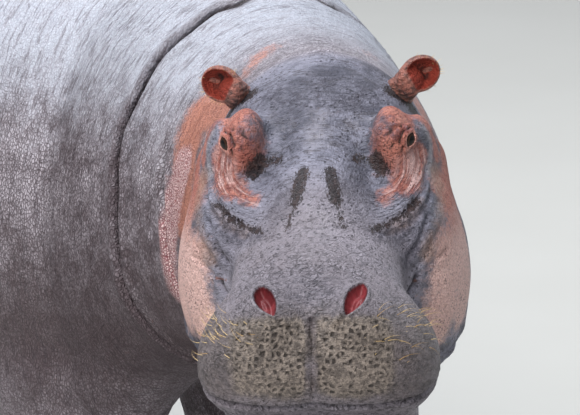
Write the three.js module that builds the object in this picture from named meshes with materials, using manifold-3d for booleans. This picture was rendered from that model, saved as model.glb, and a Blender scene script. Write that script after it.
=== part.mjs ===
// A hippopotamus, life size, standing with its head turned to its right.
// Millimetres, +Z up. The trunk lies along Y with the rump towards +Y, and +X is the animal's left.
// The flesh is one smooth field of named forms, measured as a distance: below 0 inside the animal,
// above 0 outside. Plain three.js geometries are laid on that field as cages, one for each part of
// the body, and thin cuts keep the parts from touching. All of this happens on a straight animal,
// whose neck is turned at the very end.
import * as THREE from "three";
import { mergeVertices } from "three/addons/utils/BufferGeometryUtils.js";
import Module from "manifold-3d";

const wasm = await Module();
wasm.setup();

// ---- Driving dimensions ----
const degrees = THREE.MathUtils.degToRad;
const NECK_TURN = degrees(50); // how far the head is turned to the right
const HEAD_PITCH = degrees(20); // nose down
const HEAD_ROLL = degrees(2); // left side up
const MOUTH_HEIGHT = 694; // front of the mouth line above the floor
const TURN_START = 740; // the neck bends between these two stations
const TURN_END = 1300;
const TURN_RADIUS = (TURN_END - TURN_START) / NECK_TURN;
const ROLL_LEVEL = 100; // the head rolls about a line this far above its mouth line
const LOPSIDED = 6; // the left flew stands out this much further than the right one
const CUT = 1; // width of the thin cuts between the named parts
const CLEAR = 0.5; // room round an eye or a nail in the flesh

// Girth of the neck and trunk at stations measured back from the front of the mouth.
// [station, half width, top, bottom, level of the greatest width, sideways shift, squareness of
// the upper half], where 2 is an ellipse. Heights are above the floor.
const GIRTH = [
  [430, 186, 1020, 690, 860, 0, 2.0],
  [560, 208, 1140, 640, 860, 0, 2.0],
  [700, 226, 1176, 600, 850, -4, 2.0],
  [857, 262, 1190, 570, 840, -22, 2.0],
  [1031, 322, 1226, 530, 830, -36, 1.9],
  [1300, 402, 1306, 482, 825, -34, 1.95],
  [1500, 470, 1356, 436, 815, -20, 2.05],
  [1750, 552, 1366, 388, 805, -6, 2.2],
  [2080, 606, 1378, 360, 800, 0, 2.3],
  [2400, 596, 1394, 384, 805, 0, 2.3],
  [2700, 520, 1360, 462, 810, 0, 2.2],
];
const BELLY_SQUARENESS = 2.25;
const FRONT_CAP = 120; // rounding of the two ends of the girth table
const RUMP_CAP = 480;
const SHOULDER = { at: [230, 1420, 800], half: [200, 280, 400], blend: 150 };
const HAUNCH = { at: [316, 2650, 790], half: [232, 330, 400], blend: 160 };
const HEAD_BLEND = 90;
const LEG_BLEND = 130;

// Each leg is a chain of joints: [x, y, z, radius], for the left side.
const FRONT_LEG = [
  [264, 1400, 640, 142],
  [262, 1428, 500, 136],
  [250, 1400, 300, 114],
  [250, 1402, 120, 106],
];
const HIND_LEG = [
  [300, 2690, 700, 205],
  [308, 2650, 520, 168],
  [288, 2790, 310, 114],
  [286, 2776, 120, 104],
];
const LEG_FADE = [470, 640]; // heights between which a leg stops swelling the trunk
// The cuts between legs and trunk: their height, and how far they reach from the middle of a foot.
const LEG_TOP = 350;
const LEG_ROOM = { side: 200, front: 230, rear: 200, below: 10 };
const LEG_REACH = 330; // more than any leg's greatest half width
const LEGS = [
  { name: "leg_front_left", chain: FRONT_LEG, side: 1, step: 70 },
  { name: "leg_front_right", chain: FRONT_LEG, side: -1, step: -60 },
  { name: "leg_hind_left", chain: HIND_LEG, side: 1, step: -90 },
  { name: "leg_hind_right", chain: HIND_LEG, side: -1, step: 60 },
];
const ANKLE = 200; // below this height a leg's rings move forward over the foot
const FOOT = { half: [136, 150, 92], ahead: 22, level: 20 };
const TOE = { count: 4, spread: degrees(38), reach: 108, half: [40, 54, 50], level: 30 };
const NAIL = { half: [25, 17, 21], level: 30, proud: 4 };

const TAIL = [
  [0, 3110, 985, 66],
  [0, 3168, 900, 50],
  [0, 3186, 780, 33],
  [0, 3180, 640, 17],
];
const TAIL_FLATNESS = 0.62; // its width over its depth

// The head's own frame: y back from the front of the mouth, z up from the mouth line.
const HEAD_STATION = 690; // where the head ends and the neck starts
const HEAD_MIDDLE = 40; // level of the line that its rings are centred on
const HEAD_END = 1000; // no form of the head reaches past this station
const NECK_STATION = 1031; // where the neck ends and the trunk starts, in the shoulder crease
const MOUTH = { front: -150, corner: [345, 48], level: 4, rise: 170, back: [440, -330], wide: 640 };
const NOSTRIL = { at: [78, 76, 172], half: [15, 35, 25], slant: degrees(-24), dip: degrees(38) };
const TURRET = { at: [137, 548, 196], half: [43, 70, 84], slant: degrees(-10) };
const RIM = { at: [184, 582, 166], half: [30, 52, 76], slant: degrees(-8) }; // bone outside each eye
const EYE = {
  radius: 26,
  proud: 4,
  above: 26, // how far over the turret's centre it sits
  look: new THREE.Vector3(0.55, -0.78, 0.3).normalize(),
};
// Each ear is a cup on a stalk that rises from its root. Reach is the way from root to tip.
const EAR = {
  root: [128, 722, 186],
  cup: [180, 702, 250],
  drop: 6.5, // the right ear hangs lower than the left one by twice this
  faces: new THREE.Vector3(0.22, -0.92, 0.3).normalize(),
  reach: new THREE.Vector3(0.9, 0.2, 0.38),
  wide: 1.07,
  tall: 0.93,
  neck: [-20, -12, 4], // where the stalk meets the cup, along the ear, out of it and across it
  stalk: [31, 24], // radius at its root and at its neck
};
// Radius and depth of the ear's cup, from the middle of its back round the rim to its inside.
const EAR_PROFILE = [
  [0, -31],
  [19, -27],
  [30, -18],
  [35.5, -3],
  [32, 8],
  [28, 1],
  [16, -9],
  [0, -13],
];

// ---- The field ----
const { abs, min, max, hypot, sin, cos, round, PI } = Math;
const { clamp, lerp, smoothstep } = THREE.MathUtils;

// Joins two distances, with a fillet about k wide.
function join(a, b, k) {
  const h = max(k - abs(a - b), 0) / k;
  return min(a, b) - (h * h * k) / 4;
}

// An ellipsoid at a centre, with its three half sizes.
function ball(p, at, half) {
  const x = p[0] - at[0];
  const y = p[1] - at[1];
  const z = p[2] - at[2];
  const near = hypot(x / half[0], y / half[1], z / half[2]);
  const slope = hypot(x / half[0] ** 2, y / half[1] ** 2, z / half[2] ** 2);
  return slope < 1e-9 ? -min(...half) : (near * (near - 1)) / slope;
}

// A rounded box at a centre, with its three half sizes and its rounding.
function block(p, at, half, rounding) {
  const q = p.map((v, i) => abs(v - at[i]) - half[i] + rounding);
  const out = hypot(max(q[0], 0), max(q[1], 0), max(q[2], 0));
  return out + min(max(...q), 0) - rounding;
}

// A limb that tapers from one joint to the next.
function limb(p, from, to, thick, thin) {
  const axis = to.map((v, i) => v - from[i]);
  const rel = p.map((v, i) => v - from[i]);
  const along = rel[0] * axis[0] + rel[1] * axis[1] + rel[2] * axis[2];
  const t = clamp(along / (axis[0] ** 2 + axis[1] ** 2 + axis[2] ** 2), 0, 1);
  return hypot(...rel.map((v, i) => v - axis[i] * t)) - (thick + (thin - thick) * t);
}

// A chain of limbs through joints [x, y, z, radius].
function chained(p, chain, k) {
  let d = Infinity;
  for (let i = 0; i + 1 < chain.length; i++) {
    const [a, b] = [chain[i], chain[i + 1]];
    d = join(d, limb(p, a.slice(0, 3), b.slice(0, 3), a[3], b[3]), k);
  }
  return d;
}

// A point turned back about the fore-and-aft line through a centre.
function slanted(p, at, turn) {
  const x = p[0] - at[0];
  const z = p[2] - at[2];
  return [at[0] + x * cos(turn) - z * sin(turn), p[1], at[2] + z * cos(turn) + x * sin(turn)];
}

// The girth at a station: a smooth curve through the rows of the table.
function girthAt(station) {
  const s = clamp(station, GIRTH[0][0], GIRTH.at(-1)[0]);
  const i = clamp(GIRTH.findLastIndex((row) => row[0] <= s), 0, GIRTH.length - 2);
  const [a, b] = [GIRTH[i], GIRTH[i + 1]];
  const [before, after] = [GIRTH[max(i - 1, 0)], GIRTH[min(i + 2, GIRTH.length - 1)]];
  const span = b[0] - a[0];
  const t = (s - a[0]) / span;
  return [1, 2, 3, 4, 5, 6].map((c) => {
    const slopeA = ((b[c] - before[c]) / (b[0] - before[0])) * span;
    const slopeB = ((after[c] - a[c]) / (after[0] - a[0])) * span;
    return (
      (2 * t ** 3 - 3 * t ** 2 + 1) * a[c] +
      (t ** 3 - 2 * t ** 2 + t) * slopeA +
      (3 * t ** 2 - 2 * t ** 3) * b[c] +
      (t ** 3 - t ** 2) * slopeB
    );
  });
}

// Neck and trunk: rounded sections of the girth table, closed at both ends.
function torso([x, y, z]) {
  const [half, top, bottom, level, shift, upper] = girthAt(y);
  const beyond = max(GIRTH[0][0] - y, 0) / FRONT_CAP + max(y - GIRTH.at(-1)[0], 0) / RUMP_CAP;
  const rise = z > level ? (z - level) / (top - level) : (level - z) / (level - bottom);
  const n = z > level ? upper : BELLY_SQUARENESS;
  const share = ((abs(x - shift) / half) ** n + rise ** n + beyond ** n) ** (1 / n);
  const reach = hypot(x - shift, z - level, beyond * (y > TURN_START ? RUMP_CAP : FRONT_CAP));
  return share < 1e-6 ? -half : reach * (1 - 1 / share);
}

// Straight animal to the head's own frame.
function toHead([x, y, z]) {
  const up = z - MOUTH_HEIGHT;
  const back = y * cos(HEAD_PITCH) + up * sin(HEAD_PITCH);
  const high = up * cos(HEAD_PITCH) - y * sin(HEAD_PITCH) - ROLL_LEVEL;
  return [
    x * cos(HEAD_ROLL) + high * sin(HEAD_ROLL),
    back,
    high * cos(HEAD_ROLL) - x * sin(HEAD_ROLL) + ROLL_LEVEL,
  ];
}

// And back again.
function fromHead([x, y, z]) {
  const side = x * cos(HEAD_ROLL) - (z - ROLL_LEVEL) * sin(HEAD_ROLL);
  const high = x * sin(HEAD_ROLL) + (z - ROLL_LEVEL) * cos(HEAD_ROLL) + ROLL_LEVEL;
  return [
    side,
    y * cos(HEAD_PITCH) - high * sin(HEAD_PITCH),
    MOUTH_HEIGHT + y * sin(HEAD_PITCH) + high * cos(HEAD_PITCH),
  ];
}

// A point of the head on its left side. Both sides are alike, apart from the flews.
function oneSide([x, y, z]) {
  const lean = LOPSIDED * clamp(x / 100, -1, 1) * (1 - smoothstep(y, 120, 300));
  return [abs(x) - lean, y, z];
}

// The head in its own frame, without its eye turrets and the rims behind them.
function baldHead(q) {
  const p = oneSide(q);
  let d = block(p, [0, 118, 56], [190, 110, 100], 96); // upper muzzle
  d = join(d, ball(p, [142, 124, 20], [70, 92, 86]), 50); // flews over the lower tusks
  d = join(d, ball(p, [60, 52, 44], [84, 54, 66]), 30); // lip pads
  d = join(d, ball(p, [76, 98, 134], [54, 66, 52]), 34); // nostril mounds
  d = join(d, block(p, [0, 322, 60], [154, 190, 106], 96), 60); // bridge of the nose
  d = join(d, ball(p, [0, 300, 132], [70, 190, 52]), 60); // ridge along the nose
  d = join(d, ball(p, [0, 500, 130], [92, 160, 112]), 60); // forehead
  d = join(d, ball(p, [0, 668, 124], [178, 176, 142]), 60); // crown
  d = join(d, ball(p, [150, 476, 112], [52, 84, 72]), 36); // pads under the eyes
  d = join(d, limb(p, [156, 430, 84], [176, 612, 130], 40, 46), 40); // cheekbones
  d = join(d, block(p, [0, 202, -98], [172, 168, 112], 92), 24); // lower jaw
  d = join(d, ball(p, [158, 505, -40], [106, 160, 190]), 60); // jowls
  d = join(d, ball(p, [0, 460, -104], [186, 270, 160]), 60); // throat
  return d;
}

function turretField(q) {
  return ball(slanted(oneSide(q), TURRET.at, TURRET.slant), TURRET.at, TURRET.half);
}

// The whole animal without its turrets and legs.
function flesh(p) {
  const far = [abs(p[0]), p[1], p[2]];
  let d = torso(p);
  for (const { at, half, blend } of [SHOULDER, HAUNCH]) d = join(d, ball(far, at, half), blend);
  if (p[1] < HEAD_END) d = join(d, baldHead(toHead(p)), HEAD_BLEND);
  return d;
}

// A leg's joints in place: lower joints take more of the step.
function joints({ chain, side, step }) {
  return chain.map(([x, y, z, r]) => [side * x, y + step * (1 - z / chain[0][2]), z, r]);
}

// The centres of a foot's toes.
function toes(leg) {
  const [x, y] = joints(leg).at(-1);
  return Array.from({ length: TOE.count }, (_, i) => {
    const turn = TOE.spread * (i - (TOE.count - 1) / 2);
    return {
      at: [x + sin(turn) * TOE.reach, y - FOOT.ahead - cos(turn) * TOE.reach, TOE.level],
      turn,
    };
  });
}

function legField(leg, p) {
  const chain = joints(leg);
  const [x, y] = chain.at(-1);
  let d = chained(p, chain, 40);
  d = join(d, ball(p, [x, y - FOOT.ahead, FOOT.level], FOOT.half), 40);
  for (const toe of toes(leg)) d = join(d, ball(p, toe.at, TOE.half), 22);
  return d;
}

// ---- Cages laid on the field ----
// Distance from a point to the skin along a direction, no more than the given reach.
function reachOf(field, from, along, most) {
  const at = (t) => from.map((v, i) => v + along[i] * t);
  const stride = 8;
  let t = stride;
  while (t < most && field(at(t)) < 0) t += stride;
  if (t >= most) return most;
  let [inside, outside] = [t - stride, t];
  for (let i = 0; i < 12; i++) {
    const middle = (inside + outside) / 2;
    if (field(at(middle)) < 0) inside = middle;
    else outside = middle;
  }
  return inside;
}

// A geometry's vertices, each moved to where the function says.
function moved(geometry, place) {
  const position = geometry.getAttribute("position");
  for (let i = 0; i < position.count; i++)
    position.setXYZ(i, ...place([position.getX(i), position.getY(i), position.getZ(i)]));
  return geometry;
}

function solidOf(geometry) {
  const bare = geometry.clone();
  for (const name of ["normal", "uv"]) bare.deleteAttribute(name);
  const merged = mergeVertices(bare, 1e-3);
  return new wasm.Manifold(
    new wasm.Mesh({
      numProp: 3,
      vertProperties: merged.getAttribute("position").array,
      triVerts: new Uint32Array(merged.index.array),
    }),
  );
}

// Closes both open ends of a cylinder grid with a fan to the middle of each end ring.
function closeEnds(geometry, around, rows) {
  const position = geometry.getAttribute("position");
  const points = Array.from(position.array);
  const index = Array.from(geometry.index.array);
  for (const [row, last] of [
    [0, false],
    [rows, true],
  ]) {
    const first = row * (around + 1);
    const middle = new THREE.Vector3();
    for (let i = 0; i < around; i++)
      middle.addScaledVector(new THREE.Vector3().fromBufferAttribute(position, first + i), 1 / around);
    const hub = points.length / 3;
    points.push(...middle.toArray());
    for (let i = 0; i < around; i++) {
      const pair = last ? [first + i + 1, first + i] : [first + i, first + i + 1];
      index.push(hub, ...pair);
    }
  }
  const closed = new THREE.BufferGeometry();
  closed.setAttribute("position", new THREE.Float32BufferAttribute(points, 3));
  closed.setIndex(index);
  return closed;
}

// A cage: rows of points round a line, each pushed out from the line until it meets the field.
// ringAt(row) gives the ring's centre, a function from the unit circle to a direction, and how
// far short of the skin the ring stays.
function cage(field, around, rows, ringAt, grow = 0) {
  const grid = new THREE.CylinderGeometry(1, 1, 1, around, rows, true);
  const rings = Array.from({ length: rows + 1 }, (_, row) => ringAt(row));
  moved(grid, ([x, v, z]) => {
    const { at, along, most = 900, inset = 0 } = rings[round((0.5 - v) * rows)];
    const way = along(x, -z);
    const far = reachOf(field, at, way, most) - inset + grow;
    return at.map((c, i) => c + way[i] * far);
  });
  return solidOf(closeEnds(grid, around, rows));
}

// The line through the middle of the animal. Rings are square to the head's own axis in the
// muzzle, and upright from the head's rear end on.
const UPRIGHT_FROM = 400;
function middleLine(y) {
  const inHead = fromHead([0, y, HEAD_MIDDLE]);
  const share = smoothstep(y, UPRIGHT_FROM, HEAD_STATION);
  const level = girthAt(y)[3];
  return {
    at: [inHead[0] * (1 - share), lerp(inHead[1], y, share), lerp(inHead[2], level, share)],
    tilt: HEAD_PITCH * (1 - share),
  };
}

// One stretch of the body from station to station. A fan closes it at the front or rear:
// its rings lean over from upright to straight ahead or straight back.
function stretch({ from, to, around, rows, front = 0, rear = 0, grow = 0 }) {
  const ringAt = (row) => {
    const inBody = clamp(row - front, 0, rows);
    const { at, tilt } = middleLine(lerp(from, to, inBody / rows));
    const leanFront = min(row - front, 0) / max(front, 1);
    const leanRear = max(row - front - rows, 0) / max(rear, 1);
    const lean = ((leanFront + leanRear) * PI) / 2;
    const along = (x, up) => [
      x * cos(lean),
      cos(tilt) * sin(lean) - sin(tilt) * up * cos(lean),
      sin(tilt) * sin(lean) + cos(tilt) * up * cos(lean),
    ];
    return { at, along };
  };
  return cage(flesh, around, front + rows + rear, ringAt, grow);
}

// A column of rings down a chain of joints, from one height to another. Rows crowd towards the
// lower end, and those above the chain's first joint dive under the skin.
function column(field, chain, detail) {
  const { around, rows, top, bottom, crowd, dive = 0, wide = 1, ahead = 0 } = detail;
  return cage(field, around, rows, (row) => {
    const height = bottom + (top - bottom) * (1 - row / rows) ** crowd;
    const below = chain.findIndex((joint) => joint[2] <= height);
    const i = below < 0 ? chain.length - 1 : max(below, 1);
    const [a, b] = [chain[i - 1], chain[i]];
    const t = clamp((a[2] - height) / (a[2] - b[2]), 0, 1);
    const forward = ahead * (1 - smoothstep(height, 0, ANKLE));
    const at = [lerp(a[0], b[0], t), lerp(a[1], b[1], t) - forward, height];
    const inset = dive * smoothstep(height, chain[0][2], chain[0][2] + dive);
    return { at, along: (x, y) => [x * wide, y, 0], most: LEG_REACH, inset };
  });
}

// A box between two corners, as a solid.
function boxOf(low, high) {
  const size = high.map((v, i) => v - low[i]);
  const geometry = new THREE.BoxGeometry(...size);
  geometry.translate(...low.map((v, i) => v + size[i] / 2));
  return solidOf(geometry);
}

// Splits a solid in two along the surface of a cutter: the piece inside it and the rest, with a
// gap between them. cutter(gap) gives the cutter grown by the gap.
function part(solid, cutter) {
  return [solid.intersect(cutter(0)), solid.subtract(cutter(CUT))];
}

// ---- Head ----
// The lower jaw lies under the mouth line, which rises to the corner of the mouth.
function jawCutter(gap) {
  const { front, corner, level, rise, back, wide } = MOUTH;
  const side = new THREE.Shape();
  side.moveTo(front, level + gap);
  side.lineTo(rise, level + gap);
  side.quadraticCurveTo((rise + corner[0]) / 2, level + gap, corner[0] + gap, corner[1] + gap);
  side.lineTo(back[0] + gap, back[1]);
  side.lineTo(front, back[1]);
  const prism = new THREE.ExtrudeGeometry(side, { depth: wide, bevelEnabled: false, curveSegments: 3 });
  return solidOf(moved(prism, ([y, z, x]) => fromHead([x - wide / 2, y, z])));
}

// An ellipsoid, from a sphere that is shaped, turned and set in place by one matrix.
function ellipsoid(half, matrix, [around, rows]) {
  const geometry = new THREE.SphereGeometry(1, around, rows);
  geometry.scale(...half);
  geometry.applyMatrix4(matrix);
  return geometry;
}

// The matrix of a place and three turns, about x, then y, then z.
function placed(at, [x, y, z] = [0, 0, 0]) {
  return new THREE.Matrix4().makeRotationFromEuler(new THREE.Euler(x, y, z, "ZYX")).setPosition(...at);
}

function nostrilPit(side) {
  const [x, y, z] = NOSTRIL.at;
  const turns = [NOSTRIL.dip, 0, side * NOSTRIL.slant];
  return solidOf(
    moved(ellipsoid(NOSTRIL.half, placed([side * x, y, z], turns), [8, 5]), fromHead),
  );
}

// A turret or a rim: an ellipsoid that rises out of the head.
function lump({ at, half, slant }, side, detail) {
  const place = placed([side * at[0], at[1], at[2]], [0, side * slant, 0]);
  return solidOf(moved(ellipsoid(half, place, detail), fromHead));
}

// The eye sits where the line of sight leaves its turret.
function eyeAt(side) {
  const look = [side * EYE.look.x, EYE.look.y, EYE.look.z];
  const from = [side * TURRET.at[0], TURRET.at[1], TURRET.at[2] + EYE.above];
  const far = reachOf(turretField, from, look, 200) - EYE.radius + EYE.proud;
  return from.map((v, i) => v + look[i] * far);
}

function eye(side, grow) {
  const radius = EYE.radius + grow;
  return solidOf(moved(ellipsoid([radius, radius, radius], placed(eyeAt(side)), [11, 7]), fromHead));
}

// An ear's directions as a matrix: along it, out of its cup and across it, from the cup's middle.
function earPlace() {
  const along = EAR.reach.clone().addScaledVector(EAR.faces, -EAR.reach.dot(EAR.faces)).normalize();
  const across = new THREE.Vector3().crossVectors(along, EAR.faces);
  return new THREE.Matrix4().makeBasis(along, EAR.faces, across).setPosition(...EAR.cup);
}

// A thick cup on a short stalk. It is made as a left ear, and mirrored for the right side.
function ear(side) {
  const { root, wide, tall, neck, stalk, drop } = EAR;
  const place = earPlace();
  const bowl = new THREE.LatheGeometry(EAR_PROFILE.map(([r, h]) => new THREE.Vector2(r, h)), 9);
  bowl.scale(wide, 1, tall).applyMatrix4(place);
  const base = new THREE.Vector3(...root);
  const tip = new THREE.Vector3(...neck).applyMatrix4(place);
  const run = tip.clone().sub(base);
  const stem = new THREE.CylinderGeometry(stalk[1], stalk[0], run.length(), 9);
  const upright = new THREE.Vector3(0, 1, 0);
  stem.applyQuaternion(new THREE.Quaternion().setFromUnitVectors(upright, run.normalize()));
  stem.translate(...base.lerp(tip, 0.5).toArray());
  const whole = solidOf(bowl).add(solidOf(stem));
  const own = side > 0 ? whole : whole.mirror([1, 0, 0]);
  return own.translate(0, 0, side * drop).warp((point) => {
    fromHead(point).forEach((v, i) => (point[i] = v));
  });
}

// ---- Assembly ----
const LOOKS = {
  skin: { color: 0x857d86, roughness: 0.62 },
  pinkSkin: { color: 0xa97f74, roughness: 0.6 },
  eye: { color: 0x1c1310, roughness: 0.08 },
  nail: { color: 0x4a4340, roughness: 0.5 },
};

// Neck turn: a straight animal's point on the turned animal.
function turned([x, y, z]) {
  const angle = clamp((TURN_END - y) / TURN_RADIUS, 0, NECK_TURN);
  const radius = x + TURN_RADIUS;
  const past = y > TURN_END ? y - TURN_END : min(y - TURN_START, 0);
  return [
    radius * cos(angle) - TURN_RADIUS + past * sin(angle),
    TURN_END - radius * sin(angle) + past * cos(angle),
    z,
  ];
}

function geometryOf(solid) {
  const { numProp, numVert, vertProperties, triVerts } = solid.getMesh();
  const points = new Float32Array(numVert * 3);
  for (let i = 0; i < numVert; i++)
    points.set(vertProperties.subarray(i * numProp, i * numProp + 3), i * 3);
  const geometry = new THREE.BufferGeometry();
  geometry.setAttribute("position", new THREE.BufferAttribute(points, 3));
  geometry.setIndex(new THREE.BufferAttribute(triVerts, 1));
  return geometry;
}

const animal = new THREE.Group();
function add(name, solid, look) {
  const mesh = new THREE.Mesh(
    moved(geometryOf(solid), turned),
    new THREE.MeshStandardMaterial({ metalness: 0, ...LOOKS[look] }),
  );
  mesh.name = name;
  animal.add(mesh);
}

const SIDES = [
  ["left", 1],
  ["right", -1],
];

// Head with its jaw, eyes and ears.
const HEAD_CAGE = { from: 140, to: HEAD_STATION, around: 33, rows: 20, front: 6 };
const headAndRoom = stretch({ ...HEAD_CAGE, grow: CUT });
let [jaw, skull] = part(stretch(HEAD_CAGE), jawCutter);
for (const [name, side] of SIDES) {
  skull = skull.add(lump(TURRET, side, [13, 9])).add(lump(RIM, side, [10, 7]));
  skull = skull.subtract(nostrilPit(side)).subtract(eye(side, CLEAR));
  add(`eye_${name}`, eye(side, 0), "eye");
  add(`ear_${name}`, ear(side).subtract(headAndRoom), "pinkSkin");
}
add("head", skull, "skin");
add("lower_jaw", jaw, "skin");

// Neck.
const NECK_CAGE = { from: HEAD_STATION + CUT, to: NECK_STATION, around: 28, rows: 7 };
add("neck", stretch(NECK_CAGE), "skin");

// Trunk and legs, whole, then parted under the belly.
const LEG_CAGE = { around: 18, rows: 11, bottom: 0, crowd: 1.5, dive: 80, ahead: FOOT.ahead };
const TRUNK_CAGE = { from: NECK_STATION + CUT, to: 2680, around: 28, rows: 13, rear: 5 };
let trunk = stretch(TRUNK_CAGE);
for (const leg of LEGS) {
  const chain = joints(leg);
  const withTrunk = (p) => {
    const blend = LEG_BLEND * (1 - smoothstep(p[2], ...LEG_FADE));
    return join(legField(leg, p), flesh(p), max(blend, 1));
  };
  trunk = trunk.add(column(withTrunk, chain, { ...LEG_CAGE, top: chain[0][2] + LEG_CAGE.dive }));
}
for (const leg of LEGS) {
  const [x, y] = joints(leg).at(-1);
  const cutter = (gap) =>
    boxOf(
      [x - LEG_ROOM.side - gap, y - LEG_ROOM.front - gap, -LEG_ROOM.below],
      [x + LEG_ROOM.side + gap, y + LEG_ROOM.rear + gap, LEG_TOP + gap],
    );
  let limbSolid;
  [limbSolid, trunk] = part(trunk, cutter);
  toes(leg).forEach((toe, i) => {
    const out = TOE.half[1] - NAIL.half[1] + NAIL.proud;
    const at = [toe.at[0] + sin(toe.turn) * out, toe.at[1] - cos(toe.turn) * out, NAIL.level];
    const nail = (grow) =>
      solidOf(ellipsoid(NAIL.half.map((h) => h + grow), placed(at, [0, 0, toe.turn]), [6, 4]));
    limbSolid = limbSolid.subtract(nail(CLEAR));
    add(`nail_${leg.name.slice(4)}_${i + 1}`, nail(0), "nail");
  });
  add(leg.name, limbSolid, "skin");
}

// Tail.
const tailField = (p) => chained(p, TAIL, 30);
const TAIL_CAGE = { around: 8, rows: 7, top: TAIL[0][2], bottom: 628, crowd: 1, wide: TAIL_FLATNESS };
const tail = column(tailField, TAIL, TAIL_CAGE);
add("trunk", trunk, "skin");
add("tail", tail.subtract(stretch({ ...TRUNK_CAGE, grow: CUT })), "skin");

// The origin is the middle of the animal's box, on the floor.
const middle = new THREE.Box3().setFromObject(animal).getCenter(new THREE.Vector3());
animal.position.set(-middle.x, -middle.y, 0);

export default animal;
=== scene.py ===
"""A hippopotamus in its hide: one seamless skin, eyes, nails and bristles over the fixed solids.

The skin is laid on a smooth field of named forms, in millimetres, on a straight animal that faces
-Y with its left side towards +X. Folds, lids, nostrils and markings are placed in the head's own
frame or on the straight animal, and the neck is turned at the very end.
"""
import math

import bmesh
import bpy
import numpy as np
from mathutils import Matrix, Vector


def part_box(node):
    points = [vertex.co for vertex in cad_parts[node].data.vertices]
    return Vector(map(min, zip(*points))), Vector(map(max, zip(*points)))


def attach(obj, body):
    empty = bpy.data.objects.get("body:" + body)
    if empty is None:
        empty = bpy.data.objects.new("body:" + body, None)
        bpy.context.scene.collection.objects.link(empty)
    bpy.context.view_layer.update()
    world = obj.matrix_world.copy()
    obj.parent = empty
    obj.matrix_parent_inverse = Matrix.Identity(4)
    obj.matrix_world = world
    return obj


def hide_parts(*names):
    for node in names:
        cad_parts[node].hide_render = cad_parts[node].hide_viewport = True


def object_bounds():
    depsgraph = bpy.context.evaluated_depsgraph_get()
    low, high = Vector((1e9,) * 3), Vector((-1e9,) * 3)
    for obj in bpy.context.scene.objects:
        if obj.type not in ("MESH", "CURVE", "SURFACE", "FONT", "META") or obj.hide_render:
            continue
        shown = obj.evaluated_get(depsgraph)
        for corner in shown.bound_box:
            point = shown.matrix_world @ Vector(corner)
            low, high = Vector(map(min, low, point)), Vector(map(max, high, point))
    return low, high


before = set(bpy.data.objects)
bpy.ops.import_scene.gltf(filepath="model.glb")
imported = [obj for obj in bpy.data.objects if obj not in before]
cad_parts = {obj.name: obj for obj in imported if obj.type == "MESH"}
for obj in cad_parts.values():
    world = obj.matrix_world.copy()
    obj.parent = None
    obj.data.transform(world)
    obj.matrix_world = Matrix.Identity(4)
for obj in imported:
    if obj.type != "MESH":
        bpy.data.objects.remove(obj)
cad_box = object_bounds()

# ---- The animal's own dimensions, in millimetres and degrees ----
NECK_TURN = math.radians(50)
HEAD_PITCH = math.radians(20)
HEAD_ROLL = math.radians(2)
MOUTH_HEIGHT = 694
TURN_START, TURN_END = 740, 1300
TURN_RADIUS = (TURN_END - TURN_START) / NECK_TURN
ROLL_LEVEL = 100
LOPSIDED = 6
COAT_DEPTH = 1.6  # how far the skin lies inside the solids

# Station, half width, top, bottom, level of the greatest width, sideways shift, squareness above.
GIRTH = np.array([
    [430, 186, 1020, 690, 860, 0, 2.0],
    [560, 208, 1140, 640, 860, 0, 2.0],
    [700, 226, 1176, 600, 850, -4, 2.0],
    [857, 262, 1190, 570, 840, -22, 2.0],
    [1031, 322, 1226, 530, 830, -36, 1.9],
    [1300, 402, 1306, 482, 825, -34, 1.95],
    [1500, 470, 1356, 436, 815, -20, 2.05],
    [1750, 552, 1366, 388, 805, -6, 2.2],
    [2080, 606, 1378, 360, 800, 0, 2.3],
    [2400, 596, 1394, 384, 805, 0, 2.3],
    [2700, 520, 1360, 462, 810, 0, 2.2],
], float)
BELLY_SQUARENESS = 2.25
FRONT_CAP, RUMP_CAP = 120, 480
SHOULDER = ([230, 1420, 800], [200, 280, 400], 150)
HAUNCH = ([316, 2650, 790], [232, 330, 400], 160)
HEAD_BLEND = 90
HEAD_END = 1000  # no form of the head reaches past this station

FRONT_LEG = [[264, 1400, 640, 142], [262, 1428, 500, 136], [250, 1400, 300, 114], [250, 1402, 120, 106]]
HIND_LEG = [[300, 2690, 700, 205], [308, 2650, 520, 168], [288, 2790, 310, 114], [286, 2776, 120, 104]]
LEGS = [  # joints of the left leg, side, how far it has stepped back
    (FRONT_LEG, 1, 70),
    (FRONT_LEG, -1, -60),
    (HIND_LEG, 1, -90),
    (HIND_LEG, -1, 60),
]
LEG_BLEND = 130
LEG_FADE = (470, 640)
LEG_ROOM = {"along": 520, "inwards": 60, "top": 1200}  # how far from its top joint a leg is worked out
JOINT_BLEND, TOE_BLEND = 40, 22
FOOT = {"half": [136, 150, 92], "ahead": 22, "level": 20}
TOE = {"count": 4, "spread": math.radians(38), "reach": 108, "half": [40, 54, 50], "level": 30}
TAIL = [[0, 3110, 985, 66], [0, 3168, 900, 50], [0, 3186, 780, 33], [0, 3180, 640, 17]]
TAIL_FLATNESS = 0.62

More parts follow.
